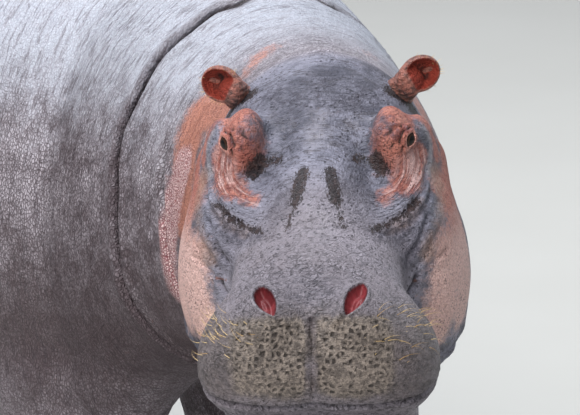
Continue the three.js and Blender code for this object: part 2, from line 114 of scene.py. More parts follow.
# The head's forms in its own frame, for its left side: kind, sizes and blend with those before.
HEAD_FORMS = [
    ("block", ([0, 118, 56], [190, 110, 100], 96), 1),  # upper muzzle
    ("ball", ([142, 124, 20], [70, 92, 86]), 50),  # flews over the lower tusks
    ("ball", ([60, 52, 44], [84, 54, 66]), 30),  # lip pads
    ("ball", ([76, 98, 134], [54, 66, 52]), 34),  # nostril mounds
    ("block", ([0, 322, 60], [154, 190, 106], 96), 60),  # bridge of the nose
    ("ball", ([0, 300, 132], [70, 190, 52]), 60),  # ridge along the nose
    ("ball", ([0, 500, 130], [92, 160, 112]), 60),  # forehead
    ("ball", ([0, 668, 124], [178, 176, 142]), 60),  # crown
    ("ball", ([150, 476, 112], [52, 84, 72]), 36),  # pads under the eyes
    ("limb", ([156, 430, 84], [176, 612, 130], 40, 46), 40),  # cheekbones
    ("block", ([0, 202, -98], [172, 168, 112], 92), 24),  # lower jaw
    ("ball", ([158, 505, -40], [106, 160, 190]), 60),  # jowls
    ("ball", ([0, 460, -104], [186, 270, 160]), 60),  # throat
]
TURRET = ([137, 548, 196], [43, 70, 84], math.radians(-10), 36)  # centre, half sizes, slant, blend
RIM = ([184, 582, 166], [30, 52, 76], math.radians(-8), 26)  # ridge of bone outside each eye
EYE = {"radius": 26, "proud": 4, "above": 26, "look": (0.55, -0.78, 0.3)}


# ---- The field: below 0 inside the animal, above 0 outside ----
def join(a, b, k):
    """Joins two distances, with a fillet about k wide."""
    h = np.maximum(k - np.abs(a - b), 0) / k
    return np.minimum(a, b) - h * h * k / 4


def fade(low, high, value):
    """A smooth step from 0 at low to 1 at high."""
    t = np.clip((value - low) / (high - low), 0, 1)
    return t * t * (3 - 2 * t)


def ball(p, at, half):
    q = [p[i] - at[i] for i in range(3)]
    near = np.sqrt(sum((q[i] / half[i]) ** 2 for i in range(3)))
    slope = np.sqrt(sum((q[i] / half[i] ** 2) ** 2 for i in range(3)))
    return near * (near - 1) / np.maximum(slope, 1e-9)


def block(p, at, half, rounding):
    q = [np.abs(p[i] - at[i]) - half[i] + rounding for i in range(3)]
    out = np.sqrt(sum(np.maximum(v, 0) ** 2 for v in q))
    return out + np.minimum(np.maximum(np.maximum(q[0], q[1]), q[2]), 0) - rounding


def limb(p, start, end, thick, thin):
    axis = [end[i] - start[i] for i in range(3)]
    rel = [p[i] - start[i] for i in range(3)]
    t = np.clip(sum(rel[i] * axis[i] for i in range(3)) / sum(v * v for v in axis), 0, 1)
    return np.sqrt(sum((rel[i] - axis[i] * t) ** 2 for i in range(3))) - (thick + (thin - thick) * t)


FORMS = {"ball": ball, "block": block, "limb": limb}


def chained(p, chain, k):
    d = None
    for a, b in zip(chain, chain[1:]):
        link = limb(p, a[:3], b[:3], a[3], b[3])
        d = link if d is None else join(d, link, k)
    return d


def slanted(p, at, turn):
    """A point turned back about the fore-and-aft line through a centre."""
    x, z = p[0] - at[0], p[2] - at[2]
    c, s = math.cos(turn), math.sin(turn)
    return [at[0] + x * c - z * s, p[1], at[2] + z * c + x * s]


def girth_at(station):
    """The rows of the girth table, on a smooth curve through them."""
    s = np.clip(station, GIRTH[0, 0], GIRTH[-1, 0])
    i = np.clip(np.searchsorted(GIRTH[:, 0], s, side="right") - 1, 0, len(GIRTH) - 2)
    a, b = GIRTH[i], GIRTH[i + 1]
    before, after = GIRTH[np.maximum(i - 1, 0)], GIRTH[np.minimum(i + 2, len(GIRTH) - 1)]
    span = b[..., 0] - a[..., 0]
    t = (s - a[..., 0]) / span
    row = []
    for c in range(1, 7):
        slope_a = (b[..., c] - before[..., c]) / (b[..., 0] - before[..., 0]) * span
        slope_b = (after[..., c] - a[..., c]) / (after[..., 0] - a[..., 0]) * span
        row.append(
            (2 * t**3 - 3 * t**2 + 1) * a[..., c]
            + (t**3 - 2 * t**2 + t) * slope_a
            + (3 * t**2 - 2 * t**3) * b[..., c]
            + (t**3 - t**2) * slope_b
        )
    return row


def torso(p):
    x, y, z = p
    half, top, bottom, level, shift, upper = girth_at(y)
    x = x - shift
    beyond = np.maximum(GIRTH[0, 0] - y, 0) / FRONT_CAP + np.maximum(y - GIRTH[-1, 0], 0) / RUMP_CAP
    rise = np.where(z > level, (z - level) / (top - level), (level - z) / (level - bottom))
    n = np.where(z > level, upper, BELLY_SQUARENESS)
    share = ((np.abs(x) / half) ** n + np.abs(rise) ** n + beyond**n) ** (1 / n)
    cap = np.where(y > TURN_START, RUMP_CAP, FRONT_CAP)
    reach = np.sqrt(x * x + (z - level) ** 2 + (beyond * cap) ** 2)
    return np.where(share < 1e-6, -half, reach * (1 - 1 / np.maximum(share, 1e-6)))


def to_head(p):
    """From the straight animal to the head's own frame, as lists of x, y and z."""
    x, y, z = p
    up = z - MOUTH_HEIGHT
    back = y * math.cos(HEAD_PITCH) + up * math.sin(HEAD_PITCH)
    high = up * math.cos(HEAD_PITCH) - y * math.sin(HEAD_PITCH) - ROLL_LEVEL
    c, s = math.cos(HEAD_ROLL), math.sin(HEAD_ROLL)
    return [x * c + high * s, back, high * c - x * s + ROLL_LEVEL]


def from_head(p):
    """And back again."""
    x, y, z = p
    c, s = math.cos(HEAD_ROLL), math.sin(HEAD_ROLL)
    side = x * c - (z - ROLL_LEVEL) * s
    high = x * s + (z - ROLL_LEVEL) * c + ROLL_LEVEL
    return [
        side,
        y * math.cos(HEAD_PITCH) - high * math.sin(HEAD_PITCH),
        MOUTH_HEIGHT + y * math.sin(HEAD_PITCH) + high * math.cos(HEAD_PITCH),
    ]


def one_side(p):
    """A point of the head on its left side. Both sides are alike, apart from the flews."""
    lean = LOPSIDED * np.clip(p[0] / 100, -1, 1) * fade(300, 120, p[1])
    return [np.abs(p[0]) - lean, p[1], p[2]]


def lump(p, form):
    at, half, slant, _ = form
    return ball(slanted(p, at, slant), at, half)


def head(q):
    p = one_side(q)
    d = None
    for kind, sizes, blend in HEAD_FORMS:
        form = FORMS[kind](p, *sizes)
        d = form if d is None else join(d, form, blend)
    for form in (TURRET, RIM):
        d = join(d, lump(p, form), form[3])
    return d


def joints(leg):
    """A leg's joints in place: lower joints take more of the step."""
    chain, side, step = leg
    return [[side * x, y + step * (1 - z / chain[0][2]), z, r] for x, y, z, r in chain]


def toes(leg):
    """The centres of a foot's toes, and how far each is turned outwards."""
    x, y = joints(leg)[-1][:2]
    for i in range(TOE["count"]):
        turn = TOE["spread"] * (i - (TOE["count"] - 1) / 2)
        reach = TOE["reach"]
        yield [x + math.sin(turn) * reach, y - FOOT["ahead"] - math.cos(turn) * reach, TOE["level"]], turn


def leg_field(leg, p):
    chain = joints(leg)
    x, y = chain[-1][:2]
    d = chained(p, chain, JOINT_BLEND)
    d = join(d, ball(p, [x, y - FOOT["ahead"], FOOT["level"]], FOOT["half"]), JOINT_BLEND)
    for at, _ in toes(leg):
        d = join(d, ball(p, at, TOE["half"]), TOE_BLEND)
    return d


def flesh(p):
    """The whole animal without its ears and the free part of its tail."""
    x, y, z = p
    far = [np.abs(x), y, z]
    d = torso(p)
    for at, half, blend in (SHOULDER, HAUNCH):
        d = join(d, ball(far, at, half), blend)
    near = y < HEAD_END
    if near.any():
        d[near] = join(d[near], head(to_head([c[near] for c in p])), HEAD_BLEND)
    for leg in LEGS:
        top = joints(leg)[0]
        near = (np.abs(y - top[1]) < LEG_ROOM["along"]) & (z < LEG_ROOM["top"])
        near &= x * leg[1] > -LEG_ROOM["inwards"]
        if near.any():
            q = [c[near] for c in p]
            blend = LEG_BLEND * fade(LEG_FADE[1], LEG_FADE[0], q[2])
            d[near] = join(d[near], leg_field(leg, q), np.maximum(blend, 1))
    return d


def hide(p):
    """The skin's own surface: inside the flesh by the coat's depth, and flat under the feet."""
    return np.maximum(flesh(p) + COAT_DEPTH, -p[2])


def turned(v):
    """Neck turn: points of the straight animal, on the turned one."""
    x, y, z = v.T
    angle = np.clip((TURN_END - y) / TURN_RADIUS, 0, NECK_TURN)
    radius = x + TURN_RADIUS
    past = np.where(y > TURN_END, y - TURN_END, np.minimum(y - TURN_START, 0))
    return np.stack([
        radius * np.cos(angle) - TURN_RADIUS + past * np.sin(angle),
        TURN_END - radius * np.sin(angle) + past * np.cos(angle),
        z,
    ], 1)


# ---- Laying a skin on the field ----
CELL_HEAD, CELL_BODY = 8.2, 24  # sizes of the skin's faces
CELL_CHANGE = (720, 1050)  # stations between which they grow
GRID = {"start": -40, "end": 3260, "low": -30, "head_middle": 880}
ROOM = {"wide": (1330, 620), "tall": (1450, 860)}  # of the body and of the head
GRID_BLOCK = 4
BLOCK_REACH = 10  # the surface may cross a block whose middle is less than this many cells away


def whole_blocks(body, head):
    """How many cells hold both the body and the head, in whole blocks."""
    return math.ceil(max(body / CELL_BODY, head / CELL_HEAD) / GRID_BLOCK) * GRID_BLOCK


def grid_points():
    """Planes of square cells across the animal, small in the head and larger behind it."""
    stations, sizes = [GRID["start"]], []
    while stations[-1] < GRID["end"] or len(stations) % GRID_BLOCK:
        sizes.append(CELL_HEAD + (CELL_BODY - CELL_HEAD) * fade(*CELL_CHANGE, stations[-1]))
        stations.append(stations[-1] + sizes[-1])
    sizes = np.array(sizes + sizes[-1:])
    stations = np.array(stations)
    across, up = whole_blocks(*ROOM["wide"]), whole_blocks(*ROOM["tall"])
    body = fade(*CELL_CHANGE, stations)
    middle = GRID["head_middle"] * (1 - body) + body * (up / 2 * CELL_BODY + GRID["low"])
    j, k = np.arange(across) - (across - 1) / 2, np.arange(up) - (up - 1) / 2
    zero = np.zeros((len(stations), across, up))
    return np.stack([
        sizes[:, None, None] * j[None, :, None] + zero,
        stations[:, None, None] + zero,
        middle[:, None, None] + sizes[:, None, None] * k[None, None, :] + zero,
    ]), sizes


def sampled(field, points, sizes):
    """The field at every grid point, worked out in full only in the blocks its surface may cross."""
    half = GRID_BLOCK // 2
    centres = points[:, half::GRID_BLOCK, half::GRID_BLOCK, half::GRID_BLOCK]
    rough = field([c.ravel() for c in centres]).reshape(centres.shape[1:])
    near = np.abs(rough) < sizes[half::GRID_BLOCK, None, None] * BLOCK_REACH
    for axis in range(3):
        rough, near = rough.repeat(GRID_BLOCK, axis), near.repeat(GRID_BLOCK, axis)
    rough[near] = field([c[near] for c in points])
    return rough


def nets(points, values):
    """Surface nets: one point in every cell that the surface crosses, and a face over every edge."""
    inside = values < 0
    count = tuple(n - 1 for n in values.shape)
    total, crossings = np.zeros(count + (3,)), np.zeros(count)
    ends = lambda axis: (
        tuple(slice(0, -1) if a == axis else slice(None) for a in range(3)),
        tuple(slice(1, None) if a == axis else slice(None) for a in range(3)),
    )
    for axis in range(3):
        low, high = ends(axis)
        crosses = inside[low] != inside[high]
        share = np.where(crosses, values[low] / np.where(crosses, values[low] - values[high], 1), 0)
        at = np.stack([c[low] * (1 - share) + c[high] * share for c in points], -1) * crosses[..., None]
        others = [a for a in range(3) if a != axis]
        for u in (0, 1):
            for w in (0, 1):
                cut = [slice(None)] * 3
                for a, offset in zip(others, (u, w)):
                    cut[a] = slice(offset, count[a] + offset)
                total += at[tuple(cut)]
                crossings += crosses[tuple(cut)]
    used = crossings > 0
    number = -np.ones(count, int)
    number[used] = np.arange(used.sum())
    faces = []
    unit = np.eye(3, dtype=int)
    for axis in range(3):
        low, high = ends(axis)
        b, c = (axis + 1) % 3, (axis + 2) % 3
        at = np.argwhere(inside[low] != inside[high])
        at = at[(at[:, b] > 0) & (at[:, c] > 0) & (at[:, b] < count[b]) & (at[:, c] < count[c])]
        corners = [at - unit[b] - unit[c], at - unit[c], at, at - unit[b]]
        face = np.stack([number[tuple(q.T)] for q in corners], 1)
        leaving = inside[low][tuple(at.T)]
        face[leaving] = face[leaving][:, ::-1]
        faces.append(face)
    return total[used] / crossings[used][:, None], np.concatenate(faces)


def laid_skin(field):
    points, sizes = grid_points()
    return nets(points, sampled(field, points, sizes))


def gradient(field, v, step=1.0):
    g = np.zeros_like(v)
    for i in range(3):
        d = np.zeros(3)
        d[i] = step
        g[:, i] = (field(list((v + d).T)) - field(list((v - d).T))) / (2 * step)
    return g


def settled(field, v, steps=2, most=6):
    """Points moved onto the field's surface by the shortest way."""
    for _ in range(steps):
        g = gradient(field, v)
        move = (field(list(v.T.copy())) / np.maximum((g * g).sum(1), 0.05))[:, None] * g
        length = np.linalg.norm(move, axis=1, keepdims=True)
        v = v - move * np.minimum(1, most / np.maximum(length, 1e-9))
    return v


def relaxed(v, edges, times, where=None, strength=0.6):
    """Points drawn towards the middle of their neighbours."""
    count = np.bincount(edges.ravel(), minlength=len(v))
    pull = strength if where is None else strength * where[:, None]
    for _ in range(times):
        mean = np.zeros_like(v)
        for i in range(3):
            mean[:, i] = np.bincount(edges[:, 0], v[edges[:, 1], i], len(v)) + np.bincount(
                edges[:, 1], v[edges[:, 0], i], len(v)
            )
        v = v + pull * (mean / np.maximum(count, 1)[:, None] - v)
    return v


def edges_of(faces):
    pairs = np.concatenate([faces[:, [a, (a + 1) % 4]] for a in range(4)])
    return np.unique(np.sort(pairs, 1), axis=0)


# ---- The head's landmarks ----
def reach_of(field, start, along, most=200.0):
    """Distance from a point to the skin along a direction."""
    inside, outside = 0.0, most
    for _ in range(30):
        middle = (inside + outside) / 2
        point = [np.array([start[i] + along[i] * middle]) for i in range(3)]
        if field(point)[0] < 0:
            inside = middle
        else:
            outside = middle
    return inside


def eye_at():
    """The middle of the left eye in the head's frame."""
    look = np.array(EYE["look"]) / np.linalg.norm(EYE["look"])
    start = np.array(TURRET[0], float) + [0, 0, EYE["above"]]
    far = reach_of(lambda p: lump(p, TURRET), start, look) - EYE["radius"] + EYE["proud"]
    return start + look * far


EYE_MIDDLE = eye_at()


def mirrored(point, side):
    return np.array([side * point[0], point[1], point[2]], float)


def in_head(v):
    """Points of the straight animal, in the head's frame."""
    return np.stack(to_head(list(v.T)), 1)


def on_animal(points):
    """Points of the head's frame, on the straight animal."""
    return np.stack(from_head(list(np.atleast_2d(np.asarray(points, float)).T)), 1)


eye_boxes = [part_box(f"eye_{name}") for name in ("left", "right")]
eye_middles = turned(on_animal([mirrored(EYE_MIDDLE, side) for side in (1, -1)]))
SHIFT = np.mean([np.array(low + high) / 2 for low, high in eye_boxes], 0) - eye_middles.mean(0) / 1000
SHIFT[2] = 0


def placed(v):
    """From the straight animal in millimetres to the frame in metres."""
    return turned(np.asarray(v, float)) / 1000 + SHIFT


# ---- Meshes ----
def mesh_object(name, v, faces):
    mesh = bpy.data.meshes.new(name)
    mesh.from_pydata(np.asarray(v).tolist(), [], faces.tolist() if isinstance(faces, np.ndarray) else faces)
    thing = bpy.data.objects.new(name, mesh)
    bpy.context.scene.collection.objects.link(thing)
    return thing


def points_of(mesh, what="vertices", kind="co", width=3):
    source = getattr(mesh, what)
    out = np.zeros(len(source) * width, int if kind == "vertices" else float)
    source.foreach_get(kind, out)
    return out.reshape(-1, width)


def set_points(mesh, v):
    mesh.vertices.foreach_set("co", np.asarray(v, float).ravel())
    mesh.update()


def shade_smooth(mesh):
    mesh.polygons.foreach_set("use_smooth", np.ones(len(mesh.polygons), bool))


def split_where(mesh, test):
    """Every face that the test picks, split in four."""
    v = points_of(mesh)
    chosen = test(v)
    body = bmesh.new()
    body.from_mesh(mesh)
    body.verts.ensure_lookup_table()
    edges = [e for e in body.edges if chosen[e.verts[0].index] and chosen[e.verts[1].index]]
    bmesh.ops.subdivide_edges(body, edges=edges, cuts=1, use_grid_fill=True)
    body.to_mesh(mesh)
    body.free()
    return points_of(mesh), points_of(mesh, "edges", "vertices", 2)


def smooth_line(points, spacing):
    """A smooth curve through landmarks, as points about this far apart."""
    p = np.asarray(points, float)
    p = np.concatenate([2 * p[:1] - p[1:2], p, 2 * p[-1:] - p[-2:-1]])
    out = []
    for a, b, c, d in zip(p, p[1:], p[2:], p[3:]):
        steps = max(int(np.linalg.norm(c - b) / spacing), 1)
        t = (np.arange(steps) / steps)[:, None]
        curve = 2 * b + (c - a) * t + (2 * a - 5 * b + 4 * c - d) * t**2 + (3 * b - a - 3 * c + d) * t**3
        out.append(0.5 * curve)
    return np.concatenate(out + [p[-2:-1]])


def away(v, line, reach):
    """Every point's distance to a line, no more than reach, and how far along the line it lies."""
    far, along = np.full(len(v), float(reach)), np.zeros(len(v))
    near = np.flatnonzero(((v > line.min(0) - reach) & (v < line.max(0) + reach)).all(1))
    q = v[near]
    best, share = far[near], along[near]
    for i, (a, b) in enumerate(zip(line, line[1:])):
        t = np.clip(((q - a) @ (b - a)) / max(((b - a) ** 2).sum(), 1e-9), 0, 1)
        d = np.linalg.norm(q - a - t[:, None] * (b - a), axis=1)
        closer = d < best
        best[closer] = d[closer]
        share[closer] = (i + t[closer]) / (len(line) - 1)
    far[near], along[near] = best, share
    return far, along


SCATTER = np.array([374761393, 668265263, 2147483647])  # large odd factors for the three axes
SCATTER_SEED, SCATTER_MIX = 1274126177, 1103515245


def lattice(p, seed):
    """A steady random number from 0 to 1 for every whole point of space."""
    h = (p.astype(np.int64) * SCATTER).sum(1) + seed * SCATTER_SEED
    h = (h ^ (h >> 13)) * SCATTER_MIX
    return ((h ^ (h >> 16)) & 0xFFFF) / 0xFFFF


def uneven(v, size, seed=0):
    """Smooth random numbers from -1 to 1, with waves about this size."""
    p = v / size
    low = np.floor(p)
    t = p - low
    t = t * t * (3 - 2 * t)
    total = 0
    for corner in range(8):
        step = np.array([corner & 1, corner >> 1 & 1, corner >> 2 & 1])
        weight = np.where(step, t, 1 - t).prod(1)
        total = total + weight * lattice(low + step, seed)
    return total * 2 - 1


# ---- Folds and creases ----
# Each line: landmarks on the left side in the head's frame, width, depth, and height of the roll
# of skin beside it. Those in BODY_FOLDS have their landmarks on the straight animal.
HEAD_FOLDS = [
    # under the eye, from its outer corner forward and down to the bridge of the nose
    ([[180, 528, 196], [176, 484, 184], [162, 446, 174], [142, 416, 164], [118, 396, 162]], 4, 2.2, 1.2),
    ([[188, 540, 176], [184, 482, 164], [170, 436, 154], [148, 400, 148], [112, 374, 154]], 5, 3.4, 2.2),
    ([[190, 500, 152], [184, 450, 142], [160, 394, 134], [128, 358, 138], [100, 344, 150]], 5, 5.0, 2.6),
    ([[152, 502, 205], [134, 470, 196], [116, 442, 184]], 4, 1.8, 1.0),
    # from the cheekbone down to the corner of the mouth
    ([[184, 440, 136], [180, 404, 116], [168, 370, 96], [154, 335, 84]], 5, 4.6, 2.6),
    ([[204, 446, 106], [196, 408, 96], [182, 372, 78], [168, 345, 60]], 5, 3.4, 2.4),
    ([[206, 432, 60], [192, 396, 60], [176, 366, 52]], 5, 3.2, 2.4),
    # mouth line and philtrum
    ([[2, 8, 6], [80, 4, 5], [150, 26, 4], [196, 90, 2], [204, 170, 2],
      [196, 250, 14], [184, 320, 40], [176, 350, 52]], 6, 12.0, 3.0),
    ([[0, 66, 152], [3, 48, 140], [-2, 30, 122], [2, 18, 100], [0, 12, 76], [0, 10, 50]], 3.2, 5.5, 2.2),
    ([[68, 62, 168], [52, 46, 156], [34, 42, 146]], 4, 3.4, 2.2),
    # across the muzzle between and behind the nostrils
    ([[0, 128, 182], [40, 128, 182], [62, 138, 180]], 3, 1.6, 1.0),
    ([[0, 160, 182], [50, 162, 180], [92, 176, 172]], 3, 1.8, 1.0),
    ([[0, 186, 184], [56, 190, 180], [104, 204, 164]], 3, 1.8, 1.0),
    ([[0, 214, 186], [50, 216, 182], [98, 232, 162]], 3, 1.6, 1.0),
    ([[0, 244, 188], [44, 248, 184], [84, 262, 170]], 3, 1.4, 1.0),
    # nape behind the ears
    ([[0, 742, 264], [50, 744, 256], [96, 742, 238], [120, 730, 226]], 6, 3.5, 2.5),
    ([[0, 790, 244], [60, 790, 234], [112, 788, 206], [146, 770, 176]], 7, 4.0, 3.0),
    ([[0, 850, 216], [64, 850, 206], [122, 846, 172], [160, 830, 130]], 7, 3.5, 3.0),
    # brow over the eye
    ([[112, 500, 236], [124, 496, 256], [146, 506, 268], [168, 524, 262]], 4, 2.2, 1.6),
    # jowl and throat
    ([[238, 520, -120], [200, 400, -150], [172, 330, -150]], 9, 6.0, 4.0),
    ([[0, 430, -268], [90, 430, -252], [160, 440, -206], [214, 470, -140]], 10, 7.0, 5.0),
    ([[0, 560, -262], [100, 560, -244], [180, 570, -190], [240, 600, -100]], 11, 8.0, 6.0),
]
SHOULDER_CREASE = [
    [60, 1082, 1238], [106, 1065, 1224], [143, 1082, 1214], [199, 1082, 1177], [258, 1094, 1127],
    [296, 1088, 1070], [333, 1090, 1003], [350, 1076, 944], [353, 1056, 881], [353, 1048, 798],
    [340, 1044, 710], [300, 1040, 630], [240, 1040, 570], [150, 1040, 535], [0, 1040, 525],
]
NECK_CREASE = [
    [236, 930, 1070], [262, 928, 1019], [282, 926, 979], [288, 908, 925], [290, 890, 870],
    [286, 876, 800], [266, 862, 720], [220, 850, 640], [140, 840, 590], [0, 836, 575],
]
BODY_FOLDS = [
    (SHOULDER_CREASE, 10, 20.0, 9.0),
    (NECK_CREASE, 8, 11.0, 6.0),
    ([[300, 980, 1000], [316, 970, 900], [316, 960, 800], [290, 950, 700]], 8, 4.0, 3.0),
    # behind the shoulder, the flank and the haunch
    ([[440, 1600, 1180], [500, 1640, 1040], [520, 1660, 860], [500, 1640, 700], [440, 1590, 560]],
     26, 10.0, 7.0),
    ([[330, 1560, 470], [390, 1530, 560], [420, 1500, 650]], 16, 9.0, 5.0),
    ([[520, 2330, 700], [500, 2420, 600], [440, 2480, 500], [360, 2500, 430]], 20, 12.0, 7.0),
    ([[560, 2300, 1000], [570, 2360, 860], [540, 2400, 720]], 30, 8.0, 6.0),
    ([[120, 3120, 900], [190, 3090, 780], [220, 3040, 640], [220, 2960, 540]], 18, 9.0, 6.0),
]
LEG_RINGS = [(330, 6, 4.0), (286, 7, 5.0), (150, 6, 4.5), (124, 5, 3.5)]  # height, width and depth
LEG_RING = {"points": 17, "wave": 0.12, "proud": 1.05, "roll": 0.7}  # the last three are shares
SPACING_HEAD, SPACING_ROUGH, SPACING_BODY = 6.0, 8.0, 20.0  # between the points of a line on the skin
MIDLINE = 30  # a fold with an end this near the midline runs on across it


def draped(points, spacing):
    """A smooth line through landmarks, laid on the skin."""
    return settled(hide, smooth_line(points, spacing), steps=4, most=40)


def draped_pair(landmarks, head_spacing=None):
    """A line on the left side and its twin on the right. Those of the head come with a spacing."""
    for side in (1, -1):
        path = [mirrored(p, side) for p in landmarks]
        yield draped(on_animal(path), head_spacing) if head_spacing else draped(path, SPACING_BODY)


def fold_lines():
    """Every fold and crease on both sides, with its width, depth and roll."""
    for folds, head_spacing in ((HEAD_FOLDS, SPACING_HEAD), (BODY_FOLDS, None)):
        for landmarks, width, depth, roll in folds:
            for line in draped_pair(landmarks, head_spacing):
                yield line, width, depth, roll
    for leg in LEGS:
        chain = joints(leg)
        for height, width, depth in LEG_RINGS:
            above = max(i for i in range(3) if chain[i][2] >= height)
            a, b = np.array(chain[above]), np.array(chain[above + 1])
            middle = a + (b - a) * (a[2] - height) / (a[2] - b[2])
            turn = np.linspace(0, 2 * math.pi, LEG_RING["points"])
            out = np.stack([np.cos(turn), np.sin(turn), LEG_RING["wave"] * np.sin(turn * 2 + height)], 1)
            ring = middle[:3] + out * middle[3] * [LEG_RING["proud"], LEG_RING["proud"], 1]
            yield draped(ring, SPACING_BODY), width, depth, depth * LEG_RING["roll"]


def folded(v):
    """How far the folds push every point out, and how deep in a crease it lies, 0 to 1, as painted shade."""
    push, shade = np.zeros(len(v)), np.zeros(len(v))
    for i, (line, width, depth, roll) in enumerate(fold_lines()):
        far, along = away(v, line, width * 4)
        near = far < width * 3.9
        ends = np.clip(np.minimum(along, 1 - along) * 6, 0, 1)
        closed = np.linalg.norm(line[0] - line[-1]) < MIDLINE
        if abs(line[0][0]) < MIDLINE:
            ends = np.ones(len(v))
        elif closed or abs(line[-1][0]) < MIDLINE:
            ends = np.where(along > 0.5, 1, ends)
        strength = ends[near] * (0.8 + 0.35 * uneven(v[near], width * 9, i))
        d = far[near] / width
        groove = np.exp(-(d**2))
        push[near] += strength * (roll * np.exp(-((d - 1.9) ** 2)) - depth * groove)
        dark = strength * np.exp(-((d * 1.3) ** 2)) * min(depth / 8, 1) * min((11 / width) ** 2, 1)
        shade[near] = np.maximum(shade[near], dark)
    return push, shade


# ---- Lids, nostrils and lip pads ----
LID = {
    "look": (0.66, -0.69, 0.29),  # middle of the opening, seen from the middle of the eye
    "half": (14.0, 9.6, 7.4),  # half length of the opening, its height above and below
    "tilt": math.radians(48),
    "thick": (2.6, 2.2),  # upper and lower lid
    "reach": (34.0, 20.0),  # how far from their edges they melt into the turret
    "inside": 7.0,  # the skin dives this far under the surface of the eye
    "rolls": [(5.2, 4.2, 3.4), (17.0, 5.5, 5.0)],  # upper lid: distance from the edge, width, height
    "pleats": [(10.5, 2.6, 5.5), (24.0, 3.0, 3.0)],  # grooves between them
    "lower_pleats": [(6.0, 1.8, 1.2), (11.5, 2.0, 1.4)],
    "room": 74,  # no lid reaches further from the middle of the eye
    "red": (0.3, 2.2),  # the lids' red edge, painted paler as a wet highlight: distance from the opening's edge, and width
    "pink": 22,  # how far from the edge the pink skin reaches
}
NOSTRIL = {
    "middle": (77, 86, 178), "along": (0.36, 0.925, 0.08), "up": (0, -0.42, 0.9),
    "half": (36, 17.5), "blunt": 0.75, "inner": 0.78,  # an opening like a lens, flatter on its inner side
    "deep": 25, "flap": 9, "rim": 3.6, "rim_width": 6.0, "mound": 6.0, "mound_reach": 46.0,
    "rear": 260,  # no nostril reaches behind this station
}
# where the pits of the lip's pads fade out
PADS = {"side": (168, 118), "top": (184, 148), "low": (8, 60), "rear": (150, 110)}
PAD_GAP = (4, 22)  # the plainer strip between the two pads
FRONT_RISE = np.array([0.54, 0.84])  # upwards along the head's y and z, as seen from in front


def unit(v):
    return np.asarray(v, float) / np.linalg.norm(v)


def bell(x, middle, width):
    return np.exp(-(((x - middle) / width) ** 2))


def lid_frame():
    look = unit(LID["look"])
    up = unit(np.array([0, 0, 1.0]) - look * look[2])
    out = np.cross(look, up)
    out = out if out[0] > 0 else -out
    turn = LID["tilt"]
    return look, out * math.cos(turn) + up * math.sin(turn), up * math.cos(turn) - out * math.sin(turn)


def lids(head_points):
    """Points near the left eye, wrapped round it; the lids' edge, painted pale as a wet highlight; their
    pink; their pleats' painted shade.
    """
    look, out, up = lid_frame()
    rel = head_points - EYE_MIDDLE
    rho = np.linalg.norm(rel, axis=1)
    way = rel / np.maximum(rho, 1e-6)[:, None]
    radius = EYE["radius"]
    front = way @ look
    angle = np.arccos(np.clip(front, -1, 1))
    flat = np.hypot(way @ out, way @ up) + 1e-9
    a, b = radius * angle * (way @ out) / flat, radius * angle * (way @ up) / flat
    half, above, below = LID["half"]
    height = np.where(b > 0, above, below)
    near = np.clip(1 - (a / half) ** 2, 0, 1)
    slope = 2 * height * np.abs(a) / half**2
    edge = (np.abs(b) - height * near) / np.sqrt(1 + np.minimum(slope, 1.2) ** 2)
    edge = np.where(np.abs(a) > half, np.hypot(np.abs(a) - half, b), edge)
    upper = fade(-9, 5, b)
    lid = radius + LID["thick"][1] + (LID["thick"][0] - LID["thick"][1]) * upper
    detail = 0 * edge
    for at, width, tall in LID["rolls"]:
        detail = detail + upper * tall * bell(edge, at, width)
    for at, width, deep in LID["pleats"]:
        detail = detail - upper * deep * bell(edge, at, width)
    for at, width, deep in LID["lower_pleats"]:
        detail = detail - (1 - upper) * deep * bell(edge, at, width)
    base = np.where(front > 0, rho, 1e6)
    reach = LID["reach"][1] + (LID["reach"][0] - LID["reach"][1]) * upper
    melt = fade(1.0, 0.35, edge / reach)
    smooth = -join(-base, -lid, 6)
    raised = base + (smooth - base + detail) * melt
    dive = fade(1.0, -1.0, edge)
    wrapped = raised * (1 - dive) + (radius - LID["inside"]) * dive
    use = (front > 0.15) & (rho < 75)
    new = np.where(use, wrapped, rho)
    red = bell(edge, *LID["red"])
    pink = np.clip(1 - edge / LID["pink"], 0, 1)
    shade = sum(upper * 0.75 * bell(edge, at, width * 0.8) for at, width, _ in LID["pleats"])
    shade = shade * fade(30, 18, np.abs(a))
    red, pink, shade = (np.where(use, mask, 0) for mask in (red, pink, shade))
    return EYE_MIDDLE + way * new[:, None], red, pink, shade


